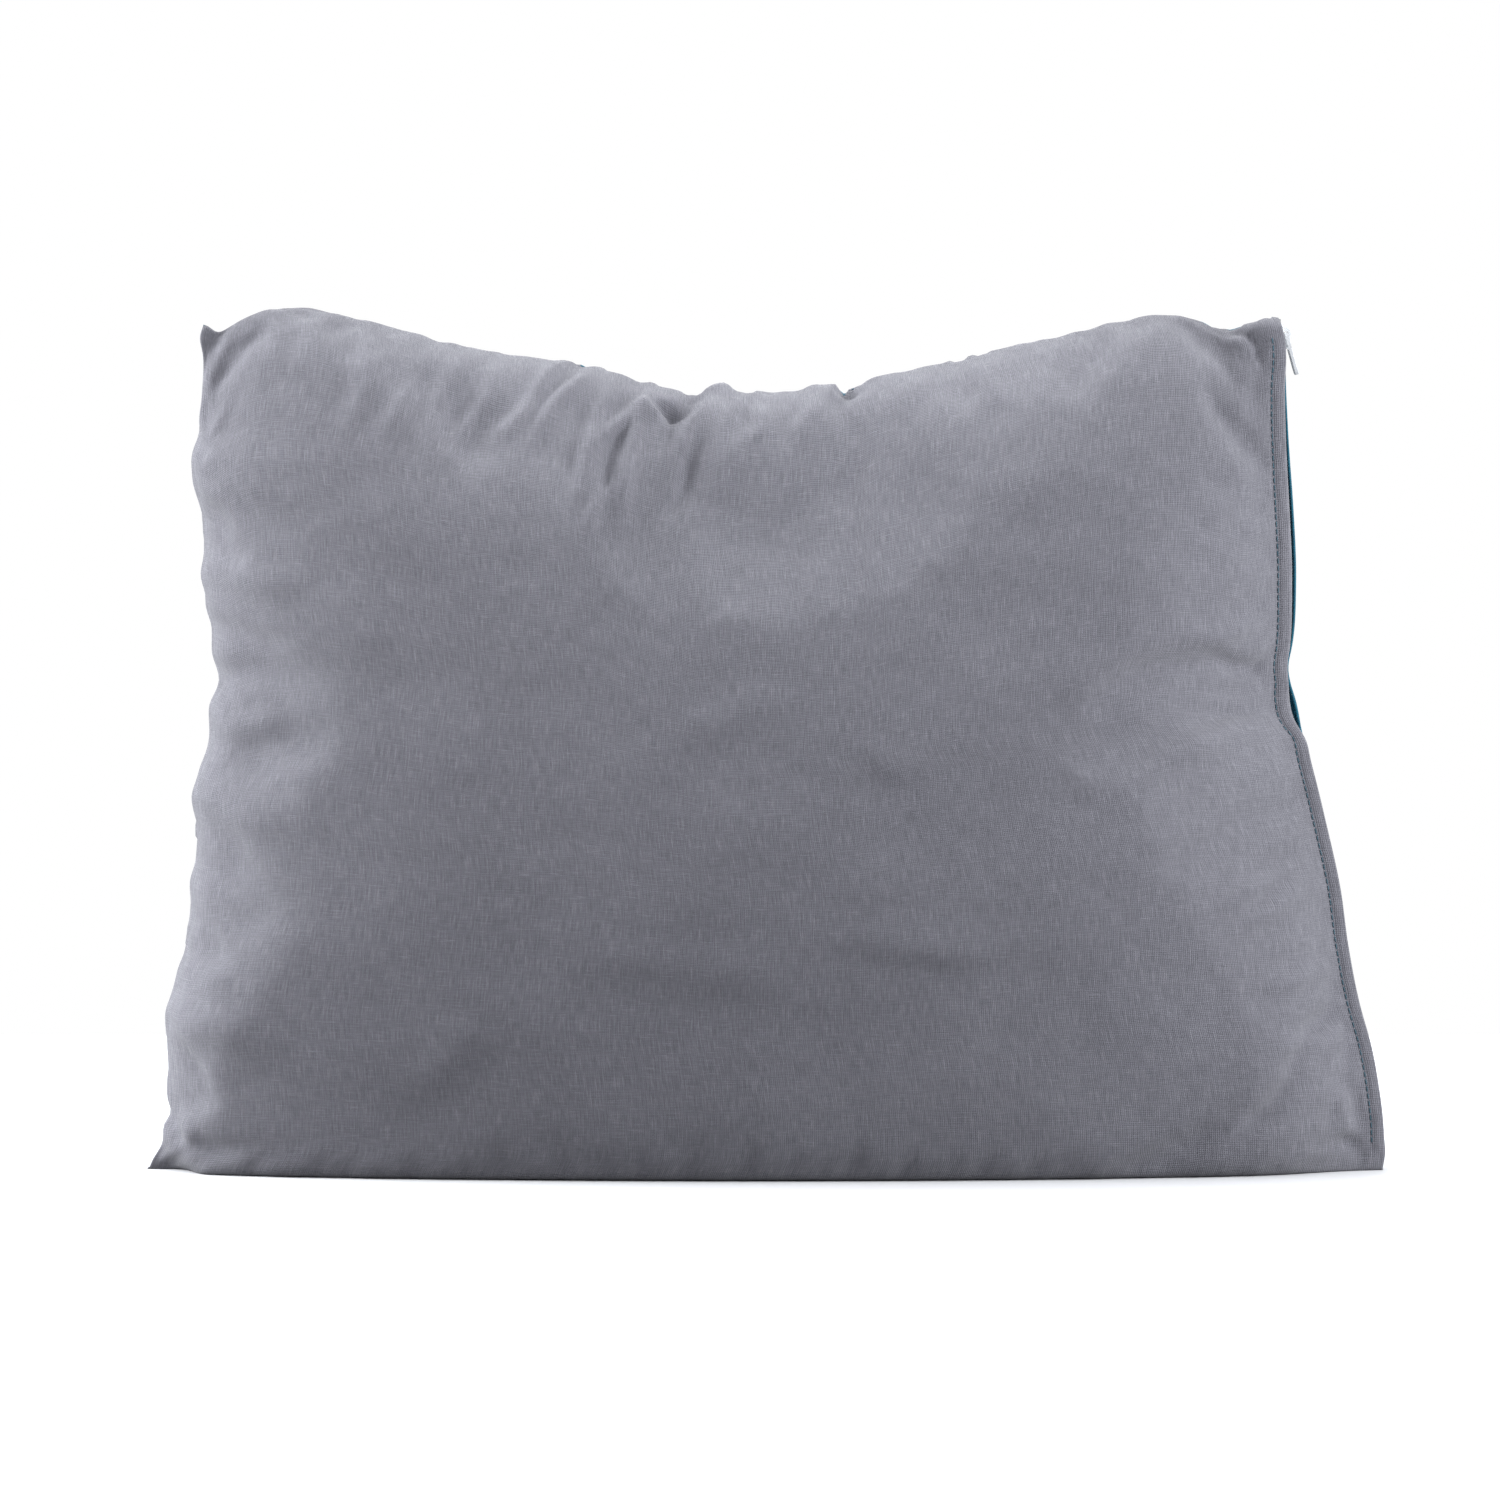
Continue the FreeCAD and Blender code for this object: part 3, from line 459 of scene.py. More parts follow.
GATHER, TUG, STRAIN, LUMP = 2.1, 1.9, 1.7, 1.5        # heights of the cloth's unevenness
SEAM_VALLEY = 1.3
HEM_GROOVE, HEM_PUFF = 0.6, 0.35
REAR_TUCK = 4.6           # the rear panel lies lower behind the top and ear seams
SEAM_SET_BACK = 5.0


def curve_through(knots):
    """A smooth curve through (position, value) pairs."""
    at, value = (np.array(column, float) for column in zip(*knots))
    slope = np.gradient(value, at)

    def evaluate(x):
        x = np.clip(np.asarray(x, float), at[0], at[-1])
        k = np.clip(np.searchsorted(at, x) - 1, 0, len(at) - 2)
        run = at[k + 1] - at[k]
        t = (x - at[k]) / run
        return ((1 + 2 * t) * (1 - t) ** 2 * value[k] + t * (1 - t) ** 2 * run * slope[k]
                + t * t * (3 - 2 * t) * value[k + 1] + t * t * (t - 1) * run * slope[k + 1])
    return evaluate


left_x = curve_through(LEFT_EDGE)
top_z = curve_through(TOP_EDGE)
wander = curve_through(ZIP_WANDER)
shortfall = {-1: curve_through(FRONT_SHORTFALL), 1: curve_through(REAR_SHORTFALL)}


def fold_x(z, side):
    """X of a hem's folded edge: side is -1 for the front panel and +1 for the rear."""
    arc_x = ZIP_ARC_X - np.sqrt(ZIP_FOLD_RADIUS ** 2 - (z - ZIP_ARC_Z) ** 2)
    return arc_x + wander(z) - shortfall[side](z)


def eased(count, quick_share):
    """count + 1 shares from 0 to 1, closest together at the 0 end."""
    t = np.linspace(0, 1, count + 1)
    rate = 1 / (2 * quick_share - quick_share ** 2)
    return np.where(t < quick_share, rate * t * t,
                    rate * quick_share ** 2 + 2 * rate * quick_share * (t - quick_share))


def smooth_step(value, low, high):
    t = np.clip((value - low) / (high - low), 0, 1)
    return t * t * (3 - 2 * t)


def behind_line(x, z, line):
    """Distance on the body's side of a line across an ear."""
    (ax, az), (bx, bz) = line
    length = math.hypot(bx - ax, bz - az)
    return ((z - az) * (bx - ax) - (x - ax) * (bz - az)) / length


def panel_grid(side, columns, rows):
    """Points [row, column] of one panel, floor to top seam, ear side to hem fold."""
    shares_u = eased(columns, 0.08)
    shares_v = 1 - eased(rows, 0.1)[::-1]
    corner_x = float(fold_x(CORNER_HEIGHT, side))
    line_x = corner_x - HEM_WIDTH
    line_z = float(top_z(line_x))
    left_top_z = float(top_z(EAR_TOP_X))
    grid = np.zeros((rows + 1, columns + 1 + len(HEM_LINES), 3))
    v, u = np.meshgrid(shares_v, shares_u, indexing="ij")
    left_z = v * left_top_z
    left = np.stack([left_x(left_z), left_z])
    right_z = v * line_z
    right = np.stack([fold_x(right_z, side) - HEM_WIDTH, right_z])
    low_left, low_right = np.array([left_x(0), 0]), np.array([fold_x(0, side) - HEM_WIDTH, 0])
    top_left, top_right = np.array([left_x(left_top_z), left_top_z]), np.array([line_x, line_z])
    top_x = top_left[0] + u * (top_right[0] - top_left[0])
    top = np.stack([top_x, top_z(top_x)])
    low = np.stack([low_left[0] + u * (low_right[0] - low_left[0]), 0 * u])
    flat = (1 - v) * low + v * top + (1 - u) * left + u * right
    for weight, corner in (((1 - u) * (1 - v), low_left), (u * (1 - v), low_right),
                           ((1 - u) * v, top_left), (u * v, top_right)):
        flat -= weight * corner[:, None, None]
    grid[:, :columns + 1, 0], grid[:, :columns + 1, 2] = flat
    for k, inward in enumerate(HEM_LINES):
        z = shares_v * float(top_z(corner_x - inward))
        grid[:, columns + 1 + k, 0] = fold_x(z, side) - inward
        grid[:, columns + 1 + k, 2] = z
    x, z = grid[..., 0], grid[..., 2]
    ear_x, end_x = left_x(z), fold_x(z, side)
    inward = np.maximum(end_x - x, 0)
    share = np.clip((x - ear_x) / (end_x - ear_x), 0, 1)
    share[:, 0] = 0
    rise = np.sin(np.pi * (shares_v[:, None] + FLOOR_SHARE) / (1 + FLOOR_SHARE))
    rise[-1] = 0
    across = np.sin(np.pi * share) ** (FULL_EAR_SIDE + (FULL_ZIP_SIDE - FULL_EAR_SIDE) * share)
    bulge = DEPTH * across * np.clip(rise, 0, 1) ** FULL_TOP
    free = np.clip((inward - HEM_WIDTH) / ZIP_SHOULDER, 0, 1)
    hem = HEM_GAP + HEM_SLOPE * np.minimum(inward, HEM_WIDTH)
    below = np.clip((top_z(x) - z) / CORNER_CLOSING, 0, 1)
    closing = np.sqrt(1 - (1 - below) ** 2)
    depth = hem * closing * (1 - free) ** 2 + bulge * free * (2 - free)
    ear = smooth_step(behind_line(x, z, UPPER_EAR), 0, 6)
    foot_ear = smooth_step(behind_line(x, z, LOWER_EAR), 0, 6)
    depth = np.maximum(depth * ear * foot_ear, np.minimum(depth, PINCHED_DEPTH))
    depth[:, 0] = 0
    depth[-1] = 0
    grid[..., 1] = side * depth
    return grid, shares_u


PANEL_KIND = {-1: 0, 1: 1}    # which part of the bag a face belongs to: front or rear panel,
ZIP_STRIP = 2                 # or the strip that closes it at the zip


class Bag:
    """The whole cover as one closed skin, from the two panels' grids, the flat foot and a zip strip."""

    def __init__(self, columns, rows, foot_rows):
        self.columns, self.rows = columns + len(HEM_LINES), rows
        self.places, self.faces, self.maps, self.kinds = [], [], [], []
        self.held = set()
        ids = {}
        for side in (-1, 1):
            grid, shares_u = panel_grid(side, columns, rows)
            hem_map = PANEL_WIDTH + (HEM_WIDTH - np.array(HEM_LINES)) * MM
            map_u = np.concatenate([shares_u * PANEL_WIDTH, hem_map])
            map_v = np.linspace(0, 1, rows + 1) * PANEL_HEIGHT
            index = np.zeros((rows + 1, self.columns + 1), int)
            for j in range(rows + 1):
                for i in range(self.columns + 1):
                    shared = i == 0 or j == rows
                    if shared and side == 1:
                        index[j, i] = ids[-1][j, i]
                        continue
                    index[j, i] = len(self.places)
                    self.places.append(grid[j, i])
                    if shared or j == 0 or i >= columns:
                        self.held.add(len(self.places) - 1)
            ids[side] = index
            for j in range(rows):
                for i in range(self.columns):
                    quad = [(j, i), (j, i + 1), (j + 1, i + 1), (j + 1, i)]
                    self.add_face([index[c] for c in quad],
                                  [(map_u[c[1]], map_v[c[0]]) for c in quad], side, PANEL_KIND[side])
            self.add_foot(side, index[0], grid[0], map_u, foot_rows)
        front, rear = ids[-1][:, -1], ids[1][:, -1]
        for j in range(rows):
            self.add_face([front[j], rear[j], rear[j + 1], front[j + 1]], [(0, 0)] * 4, -1, ZIP_STRIP)

    def add_face(self, corners, places, side, kind):
        if side > 0:
            corners, places = corners[::-1], places[::-1]
        kept = [k for k in range(len(corners)) if corners[k] != corners[k - 1]]
        if len(kept) >= 3:
            self.faces.append([corners[k] for k in kept])
            self.maps.append([places[k] for k in kept])
            self.kinds.append(kind)

    def add_foot(self, side, edge, points, map_u, foot_rows):
        """The flat foot of one panel, from its floor edge in to the closing seam."""
        if side < 0:
            self.seam = [edge[0]]
            for i in range(1, len(edge)):
                self.seam.append(len(self.places))
                self.places.append(np.array([points[i][0], 0.0, 0.0]))
                self.held.add(len(self.places) - 1)
        rings = [list(edge)]
        for k in range(1, foot_rows):
            ring = [edge[0]]
            for i in range(1, len(edge)):
                ring.append(len(self.places))
                self.places.append(np.array([points[i][0], points[i][1] * (1 - k / foot_rows), 0.0]))
                self.held.add(len(self.places) - 1)
            rings.append(ring)
        rings.append(self.seam)
        for k in range(foot_rows):
            for i in range(len(edge) - 1):
                a, b = rings[k], rings[k + 1]
                high, low = -FOOT_CLOTH * k, -FOOT_CLOTH * (k + 1)
                near, far = map_u[i], map_u[i + 1]
                self.add_face([b[i], b[i + 1], a[i + 1], a[i]],
                              [(near, low), (far, low), (far, high), (near, high)], side, PANEL_KIND[side])

    def to_object(self, name):
        mesh = bpy.data.meshes.new(name)
        mesh.from_pydata([tuple(p * MM) for p in self.places], [], self.faces)
        layer = mesh.uv_layers.new(name="ClothMap")
        layer.data.foreach_set("uv", np.array([c for face in self.maps for c in face], float).ravel())
        mesh.polygons.foreach_set("material_index", self.kinds)
        for kind in range(3):
            mesh.materials.append(None)
        made = bpy.data.objects.new(name, mesh)
        scene.collection.objects.link(made)
        return made


def points_of(thing):
    out = np.zeros(len(thing.data.vertices) * 3)
    thing.data.vertices.foreach_get("co", out)
    return out.reshape(-1, 3) / MM


def put_points(thing, points):
    thing.data.vertices.foreach_set("co", (points * MM).ravel())
    thing.data.update()


def only(thing):
    bpy.ops.object.select_all(action="DESELECT")
    thing.select_set(True)
    bpy.context.view_layer.objects.active = thing


def stuff(thing, held):
    """Blow the skin up with a little spare cloth in it, so that it creases where the seams hold it."""
    start = points_of(thing)
    ears = np.minimum(behind_line(start[:, 0], start[:, 2], UPPER_EAR),
                      behind_line(start[:, 0], start[:, 2], LOWER_EAR))
    group = thing.vertex_groups.new(name="Held")
    pinched = set(np.nonzero(ears < 9)[0].tolist())
    group.add(sorted(held | pinched), 1.0, "REPLACE")
    cloth = thing.modifiers.new("Stuffing", "CLOTH")
    settings = cloth.settings
    settings.quality = 6
    settings.mass = 0.25
    settings.tension_stiffness = settings.compression_stiffness = 14
    settings.shear_stiffness = 6
    settings.bending_stiffness = 0.35
    settings.use_pressure = True
    settings.uniform_pressure_force = 4
    settings.shrink_min = -0.03
    settings.effector_weights.gravity = 0
    settings.vertex_group_mass = "Held"
    cloth.collision_settings.use_collision = False
    cloth.point_cache.frame_start, cloth.point_cache.frame_end = 1, SWELL_FRAMES
    for step in range(1, SWELL_FRAMES + 1):
        scene.frame_set(step)
    only(thing)
    bpy.ops.object.modifier_apply(modifier="Stuffing")
    scene.frame_set(1)
    moved = points_of(thing) - start
    near = np.minimum(top_z(start[:, 0]) - start[:, 2], start[:, 0] - left_x(start[:, 2]))
    near = np.minimum(near, 0.55 * start[:, 2])
    limit = SWELL_AT_SEAM + SWELL_INSIDE * smooth_step(np.maximum(near, 0), 0, SWELL_RUN)
    length = np.linalg.norm(moved, axis=1)
    moved *= np.minimum(1, limit / np.maximum(length, 1e-6))[:, None]
    ended = start + moved
    ended[:, 2] = np.maximum(ended[:, 2], 0)
    put_points(thing, ended)
    thing.vertex_groups.clear()


# (start x, z), (end x, z), half width, height: creases and ridges of the front panel
FRONT_FOLDS = [
    ((-79, 372), (-90, 328), 4.5, 2.4), ((-60, 366), (-72, 315), 4.2, 2.8), ((-70, 346),
    (-76, 322), 3.2, 1.6),
    ((-81, 332), (-85, 308), 3.4, 1.5), ((-33, 350), (-47, 316), 5.0, -2.2), ((-154, 384),
    (-164, 338), 5.5, 1.6),
    ((-132, 382), (-152, 342), 5.5, 1.8), ((-102, 386), (-128, 352), 5.0, 2.2), ((-86, 388),
    (-112, 356), 4.6, 2.2),
    ((-56, 380), (-82, 347), 4.5, 2.6), ((-30, 374), (-42, 348), 5.0, 2.8), ((-1, 370), (-6, 352), 6.0, 1.8),
    ((-170, 392), (-180, 354), 6.0, 1.3), ((-190, 398), (-198, 360), 6.5, 1.2), ((20, 372),
    (18, 352), 6.5, 1.4),
    ((46, 378), (44, 360), 5.5, 1.5), ((-46, 372), (-46, 364), 7.0, -5.0), ((40, 382), (41, 374), 5.0, -3.4),
    ((-18, 384), (-30, 376), 4.5, 3.2), ((70, 384), (64, 366), 7.0, 1.0), ((110, 392), (104, 372), 8.0, 0.9),
    ((244, 231), (208, 227), 4.0, 1.8), ((250, 242), (214, 247), 5.0, -2.0), ((248, 222),
    (192, 204), 6.0, 1.8),
    ((258, 153), (224, 132), 4.5, 1.6), ((262, 143), (228, 120), 4.5, 1.5), ((237, 265),
    (202, 258), 5.0, 1.4),
    ((274, 98), (240, 92), 6.0, 1.5), ((282, 70), (246, 60), 7.0, 1.3), ((238, 305), (200, 300), 8.0, 1.0),
    ((240, 340), (205, 345), 8.0, 0.9), ((226, 407), (242, 400), 3.0, -1.8), ((234, 400),
    (245, 386), 3.0, -1.6),
    ((-276, 290), (-222, 287), 9.0, 1.8), ((-276, 262), (-226, 258), 8.0, -1.8), ((-274, 222),
    (-222, 218), 9.0, 2.0),
    ((-272, 240), (-236, 240), 7.0, -1.6), ((-283, 180), (-236, 176), 10.0, 1.6),
    ((-288, 138), (-240, 132), 11.0, 1.6), ((-290, 108), (-250, 104), 8.0, -1.4),
    ((-290, 70), (-240, 66), 11.0, 1.5), ((-278, 330), (-232, 326), 9.0, 1.5),
    ((-282, 24), (-272, 6), 5.0, 2.0), ((-290, 30), (-283, 10), 4.0, -1.5), ((40, 117), (128, 112), 9.0, 0.9),
    ((-90, 118), (16, 90), 12.0, 0.9), ((-172, 46), (-130, 74), 10.0, 1.0), ((-40, 220), (6, 226), 12.0, 0.8),
    ((46, 206), (74, 198), 9.0, 0.9), ((150, 244), (230, 190), 14.0, 1.0), ((284, 22), (268, 44), 6.0, 1.6),
    ((290, 12), (276, 14), 4.0, -2.2), ((110, 330), (150, 344), 13.0, 0.9), ((-200, 316),
    (-150, 300), 14.0, 0.8),
]


def rear_folds():
    """The rear panel's own creases: gathers under the dip, and pulls at the ear side and the zip."""
    pick = random.Random(11)
    folds = []
    for k in range(16):
        x = -170 + 23 * k + pick.uniform(-7, 7)
        z = float(top_z(x)) - pick.uniform(8, 14)
        lean = pick.uniform(-14, 12)
        end = (x + lean, z - pick.uniform(24, 48))
        folds.append(((x, z), end, pick.uniform(4, 7), pick.uniform(1.0, 2.6)))
    for k in range(8):
        z = 40 + 44 * k + pick.uniform(-10, 10)
        for start, reach in ((float(left_x(z)) + 8, 44), (float(fold_x(z, 1)) - 14, -44)):
            end = (start + reach, z + pick.uniform(-12, 8))
            folds.append(((start, z), end, pick.uniform(5, 10), pick.uniform(-1.8, 2.0)))
    for k in range(7):
        x, z = pick.uniform(-200, 200), pick.uniform(70, 300)
        end = (x + pick.uniform(30, 80), z + pick.uniform(-30, 30))
        folds.append(((x, z), end, 13, pick.uniform(0.6, 1.1)))
    return folds


def fold_heights(x, z, folds):
    """Height of all the folds at each place: a ridge with a shallow trough along one flank."""
    total = np.zeros_like(x)
    for (ax, az), (bx, bz), half, height in folds:
        half, height = 0.85 * half, 1.35 * height
        dx, dz = bx - ax, bz - az
        length = math.hypot(dx, dz)
        along = ((x - ax) * dx + (z - az) * dz) / length ** 2
        off = ((x - ax) * dz - (z - az) * dx) / length
        off = off + half * 0.35 * np.sin(along * 5.3 + ax)
        fade = smooth_step(along, -0.28, 0.3) * (1 - smooth_step(along, 0.55, 1.25))
        total += height * fade * (np.exp(-(off / half) ** 2)
                                  - 0.45 * np.exp(-((off - 1.7 * half) / half) ** 2))
    return total


def crease(thing):
    """Fine shape of the stuffed skin: seam valley, gathers at the seams, folds, soft lumps and hem."""
    points = points_of(thing)
    normals = np.zeros(len(points) * 3)
    thing.data.vertices.foreach_get("normal", normals)
    normals = normals.reshape(-1, 3)
    x, y, z = points.T
    top_gap = np.sqrt(np.maximum(top_z(x) - z, 0) ** 2 + y ** 2)
    ear_gap = np.sqrt(np.maximum(x - left_x(z), 0) ** 2 + y ** 2)
    hem_gap = np.maximum(np.where(y < 0, fold_x(z, -1), fold_x(z, 1)) - x, 0)
    seam_gap = np.minimum(top_gap, ear_gap)
    inland = smooth_step(hem_gap, HEM_WIDTH, 40)
    off_floor = smooth_step(z, 1.0, 26)
    off_ear = smooth_step(ear_gap, 3.0, 20)
    lift = np.where(y < 0, fold_heights(x, z, FRONT_FOLDS), fold_heights(x, z, rear_folds()))
    off_hem = smooth_step(hem_gap, HEM_WIDTH + 0.5, HEM_WIDTH + 9)
    lift *= off_hem * off_floor
    gather = 0.35 + 0.75 * np.exp(-((x + 70) / 95) ** 2)
    for k in range(len(points)):
        px, py, pz = points[k]
        side = 7.0 if py < 0 else 23.0
        run = px + 0.55 * top_gap[k]
        pucker = noise.noise(Vector((run / 9.0, top_gap[k] / 70.0, side)))
        lift[k] += GATHER * gather[k] * pucker * math.exp(-(top_gap[k] / 42) ** 1.4) * inland[k]
        tug = noise.noise(Vector((pz / 17.0, ear_gap[k] / 90.0, side + 5)))
        lift[k] += TUG * tug * math.exp(-(ear_gap[k] / 48) ** 1.4) * off_floor[k] * off_ear[k]
        strain = noise.noise(Vector((pz / 15.0, hem_gap[k] / 120.0, side + 9)))
        lift[k] += STRAIN * strain * math.exp(-(hem_gap[k] / 45) ** 1.6) * off_hem[k] * off_floor[k]
        lump = noise.fractal(Vector((px / 62.0, pz / 50.0, side)), 1.0, 2.1, 3)
        lift[k] += LUMP * lump * inland[k] * off_floor[k]
    lift -= SEAM_VALLEY * np.exp(-(seam_gap / 3.2) ** 2) * (hem_gap > 3)
    band = smooth_step(top_z(x) - z, 2, 14) * smooth_step(z, 4, 14)
    lift -= HEM_GROOVE * np.exp(-((hem_gap - HEM_WIDTH + STITCH_INSET) / 1.3) ** 2) * band
    lift += HEM_PUFF * np.sin(np.pi * np.clip(hem_gap / HEM_WIDTH, 0, 1)) * band
    ears = np.minimum(behind_line(x, z, UPPER_EAR), behind_line(x, z, LOWER_EAR))
    lift *= 0.12 + 0.88 * smooth_step(ears, 0, 16)
    points += normals * lift[:, None]
    tuck = np.where(y > 0, REAR_TUCK, 0.0) * off_floor * smooth_step(ears, -2, 12)
    points[:, 2] -= tuck * np.exp(-(top_gap / 38) ** 2) * smooth_step(top_gap, 0, 5)
    points[:, 0] += tuck * np.exp(-(ear_gap / 38) ** 2) * smooth_step(ear_gap, 0, 5)
    set_back = SEAM_SET_BACK * np.exp(-(seam_gap / 22) ** 2)
    points[:, 1] += set_back * inland * smooth_step(ears, 0, 20) * off_floor
    points[:, 2] = np.maximum(points[:, 2], 0)
    put_points(thing, points)


def part_with(thing, kind, name):
    """The faces of one kind, as a piece of its own."""
    made = bpy.data.objects.new(name, thing.data.copy())
    made.data.name = name
    scene.collection.objects.link(made)
    mesh = bmesh.new()
    mesh.from_mesh(made.data)
    bmesh.ops.delete(mesh, geom=[f for f in mesh.faces if f.material_index != kind], context="FACES")
    for face in mesh.faces:
        face.material_index = 0
    mesh.to_mesh(made.data)
    mesh.free()
    return made


def dress(piece, slot, *nodes, body="cover"):
    """Give a piece the material of its slot, hang it on its body and hide the CAD nodes that it stands for.
    """
    piece.data.materials.clear()
    piece.data.materials.append(MATERIALS[slot])
    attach(piece, body)
    for node in nodes:
        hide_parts(node)


def smooth(piece):
    piece.data.polygons.foreach_set("use_smooth", [True] * len(piece.data.polygons))


def thicken(piece, thickness, hem_thickness=None):
    """Give a skin its cloth thickness, inwards; the hem's folded edge is thicker."""
    wall = piece.modifiers.new("ClothThickness", "SOLIDIFY")
    wall.offset = -1
    wall.thickness = (hem_thickness or thickness) * MM
    wall.use_even_offset = False
    if hem_thickness:
        points = points_of(piece)
        side = -1 if points[:, 1].mean() < 0 else 1
        inward = fold_x(points[:, 2], side) - points[:, 0]
        share = smooth_step(-inward, -HEM_WIDTH - 3, -HEM_WIDTH + 1)
        group = piece.vertex_groups.new(name="HemFold")
        for k, weight in enumerate(share):
            if weight > 0:
                group.add([k], float(weight), "REPLACE")
        wall.vertex_group = "HemFold"
        wall.thickness_vertex_group = thickness / hem_thickness
    only(piece)
    bpy.ops.object.modifier_apply(modifier="ClothThickness")
    piece.vertex_groups.clear()


def make_cover():
    bag = Bag(COLUMNS, ROWS, FOOT_ROWS)
    skin = bag.to_object("CoverSkin")
    stuff(skin, bag.held)
    only(skin)
    finer = skin.modifiers.new("Finer", "SUBSURF")
    finer.levels = finer.render_levels = 1
    bpy.ops.object.modifier_apply(modifier="Finer")
    crease(skin)
    front = part_with(skin, 0, "CoverFront")
    rear = part_with(skin, 1, "CoverRear")
    bpy.data.objects.remove(skin)
    made = {}
    for side, piece, slot, node in ((-1, front, "grey_cloth", "cover_front_panel"),
                                    (1, rear, "teal_cloth", "cover_rear_panel")):
        surface = BVHTree.FromPolygons([v.co.copy() for v in piece.data.vertices],
                                       [tuple(p.vertices) for p in piece.data.polygons])
        made[side] = surface
        thicken(piece, COVER_CLOTH, HEM_CLOTH)
        smooth(piece)
        dress(piece, slot, node)
    return made


# ---- insert and stuffing ----------------------------------------------------------------------------
def inner_skin(name, cover, gap, zip_gap):
    """A coarser closed skin inside the cover, a gap away from its cloth and further from its zip."""
    skin = Bag(46, 34, 4).to_object(name)
    points = points_of(skin)
    x, y, z = points.T
    middle = 0.44 * HEIGHT
    limit = np.where(y < 0, fold_x(z, -1), fold_x(z, 1)) - zip_gap
    slim = 1 - 1.9 * gap / HALF_WIDTH
    points[:, 2] = middle + (z - middle) * (1 - 2.0 * gap / HEIGHT)
    points[:, 0] = np.where(x > 0, x * (limit / (limit + zip_gap)), x * slim)
    ends = np.sqrt(np.clip((limit + 0.5 - points[:, 0]) / 40, 0.0, 1))
    points[:, 1] *= 0.93 * ends
    for _ in range(4):
        for k in range(len(points)):
            p = Vector(points[k])
            for surface in cover.values():
                hit, normal, _, distance = surface.find_nearest(p * MM)
                out = (p * MM - hit).dot(normal) / MM
                if out > -gap and distance / MM < 30:
                    p -= normal * min(out + gap, 8.0)
            points[k] = p
    points[:, 2] = np.maximum(points[:, 2], 0.5 * gap)
    put_points(skin, points)
    return skin


def make_insert(cover):
    shell = inner_skin("InsertSkin", cover, gap=7.5, zip_gap=20.0)
    for kind, name, node in ((0, "InsertFront", "insert_shell_front"),
                             (1, "InsertRear", "insert_shell_rear")):
        piece = part_with(shell, kind, name)
        thicken(piece, INSERT_CLOTH)
        smooth(piece)
        dress(piece, "insert_cloth", node)
    bpy.data.objects.remove(shell)
    fill = inner_skin("Stuffing", cover, gap=10.5, zip_gap=23.0)
    fill.data.polygons.foreach_set("material_index", [0] * len(fill.data.polygons))
    smooth(fill)
    dress(fill, "stuffing", "insert_fill")


# ---- threads ------------------------------------------------------------------------------------------
STITCH, STITCH_PITCH = 3.0, 3.55
MISSED_PITCH = 3.5        # where a stitch finds no cloth under it
THREAD, HIDDEN_THREAD = 0.62, 0.45
HIDDEN_STITCHES = 58      # on each edge of a hidden seam


def joined(copies, name):
    """Many small meshes, joined into one smooth piece."""
    bpy.ops.object.select_all(action="DESELECT")
    for copy in copies:
        copy.select_set(True)
    bpy.context.view_layer.objects.active = copies[0]
    bpy.ops.object.join()
    piece = bpy.context.active_object
    piece.name = name
    smooth(piece)
    return piece


def one_stitch(length, thick):
    """A short length of thread with dipping ends, along Z."""
    bpy.ops.mesh.primitive_uv_sphere_add(segments=6, ring_count=6, radius=1)
    stitch = bpy.context.active_object
    points = points_of(stitch) * MM
    ends = np.sign(points[:, 2]) * np.abs(points[:, 2]) ** 0.75
    points[:, 0] = points[:, 0] * thick / 2 - 0.22 * thick * np.abs(ends) ** 3
    points[:, 1] *= thick / 2
    points[:, 2] = ends * length / 2
    put_points(stitch, points)
    return stitch


def sewn_line(name, places, slot, node, thick=THREAD):
    """One stitch at each (point, run direction, outward direction), joined into a piece."""
    first = one_stitch(STITCH, thick)
    copies = []
    for point, run, outward in places:
        copy = bpy.data.objects.new(name, first.data.copy())
        scene.collection.objects.link(copy)
        up = run.normalized()
        out = (outward - up * outward.dot(up)).normalized()
        turn = Matrix((out, up.cross(out), up)).transposed().to_4x4()
        copy.data.transform(Matrix.Translation(point * MM) @ turn)
        copies.append(copy)
    bpy.data.objects.remove(first)
    dress(joined(copies, name), slot, node)


def hem_places(side, surface):
    """Stitch places down a hem's topstitch line."""
    inward = HEM_WIDTH - STITCH_INSET
    places = []
    z = 402.0
    while z > 12:
        point = Vector((float(fold_x(z, side)) - inward, side * 60.0, z))
        ahead = Vector((float(fold_x(z - 1, side)) - inward, side * 60.0, z - 1))
        into = Vector((0, -side, 0))
        hit, normal, _, _ = surface.ray_cast(point * MM, into)
        below = surface.ray_cast(ahead * MM, into)[0]
        if hit is not None and below is not None:
            run = (below - hit) / MM
            places.append((hit / MM + normal * 0.12, run, normal))
            z -= STITCH_PITCH * abs(run.z) / max(run.length, 1e-6)
        else:
            z -= MISSED_PITCH
    return places


def seam_places(inset):
    """Stitch places in the allowance of a hidden seam, along the top and up the ear side."""
    places = []
    for k in range(HIDDEN_STITCHES):
        share = (k + 0.5) / HIDDEN_STITCHES
        x = -250 + 460 * share
        slope = Vector((2, 0, float(top_z(x + 1) - top_z(x - 1))))
        places.append((Vector((x, 3.5, float(top_z(x)) - inset)), slope, Vector((0, -1, 0))))
        z = 24 + 350 * share
        slope = Vector((float(left_x(z + 1) - left_x(z - 1)), 0, 2))
        places.append((Vector((float(left_x(z)) + inset, 3.5, z)), slope, Vector((0, -1, 0))))
    return places


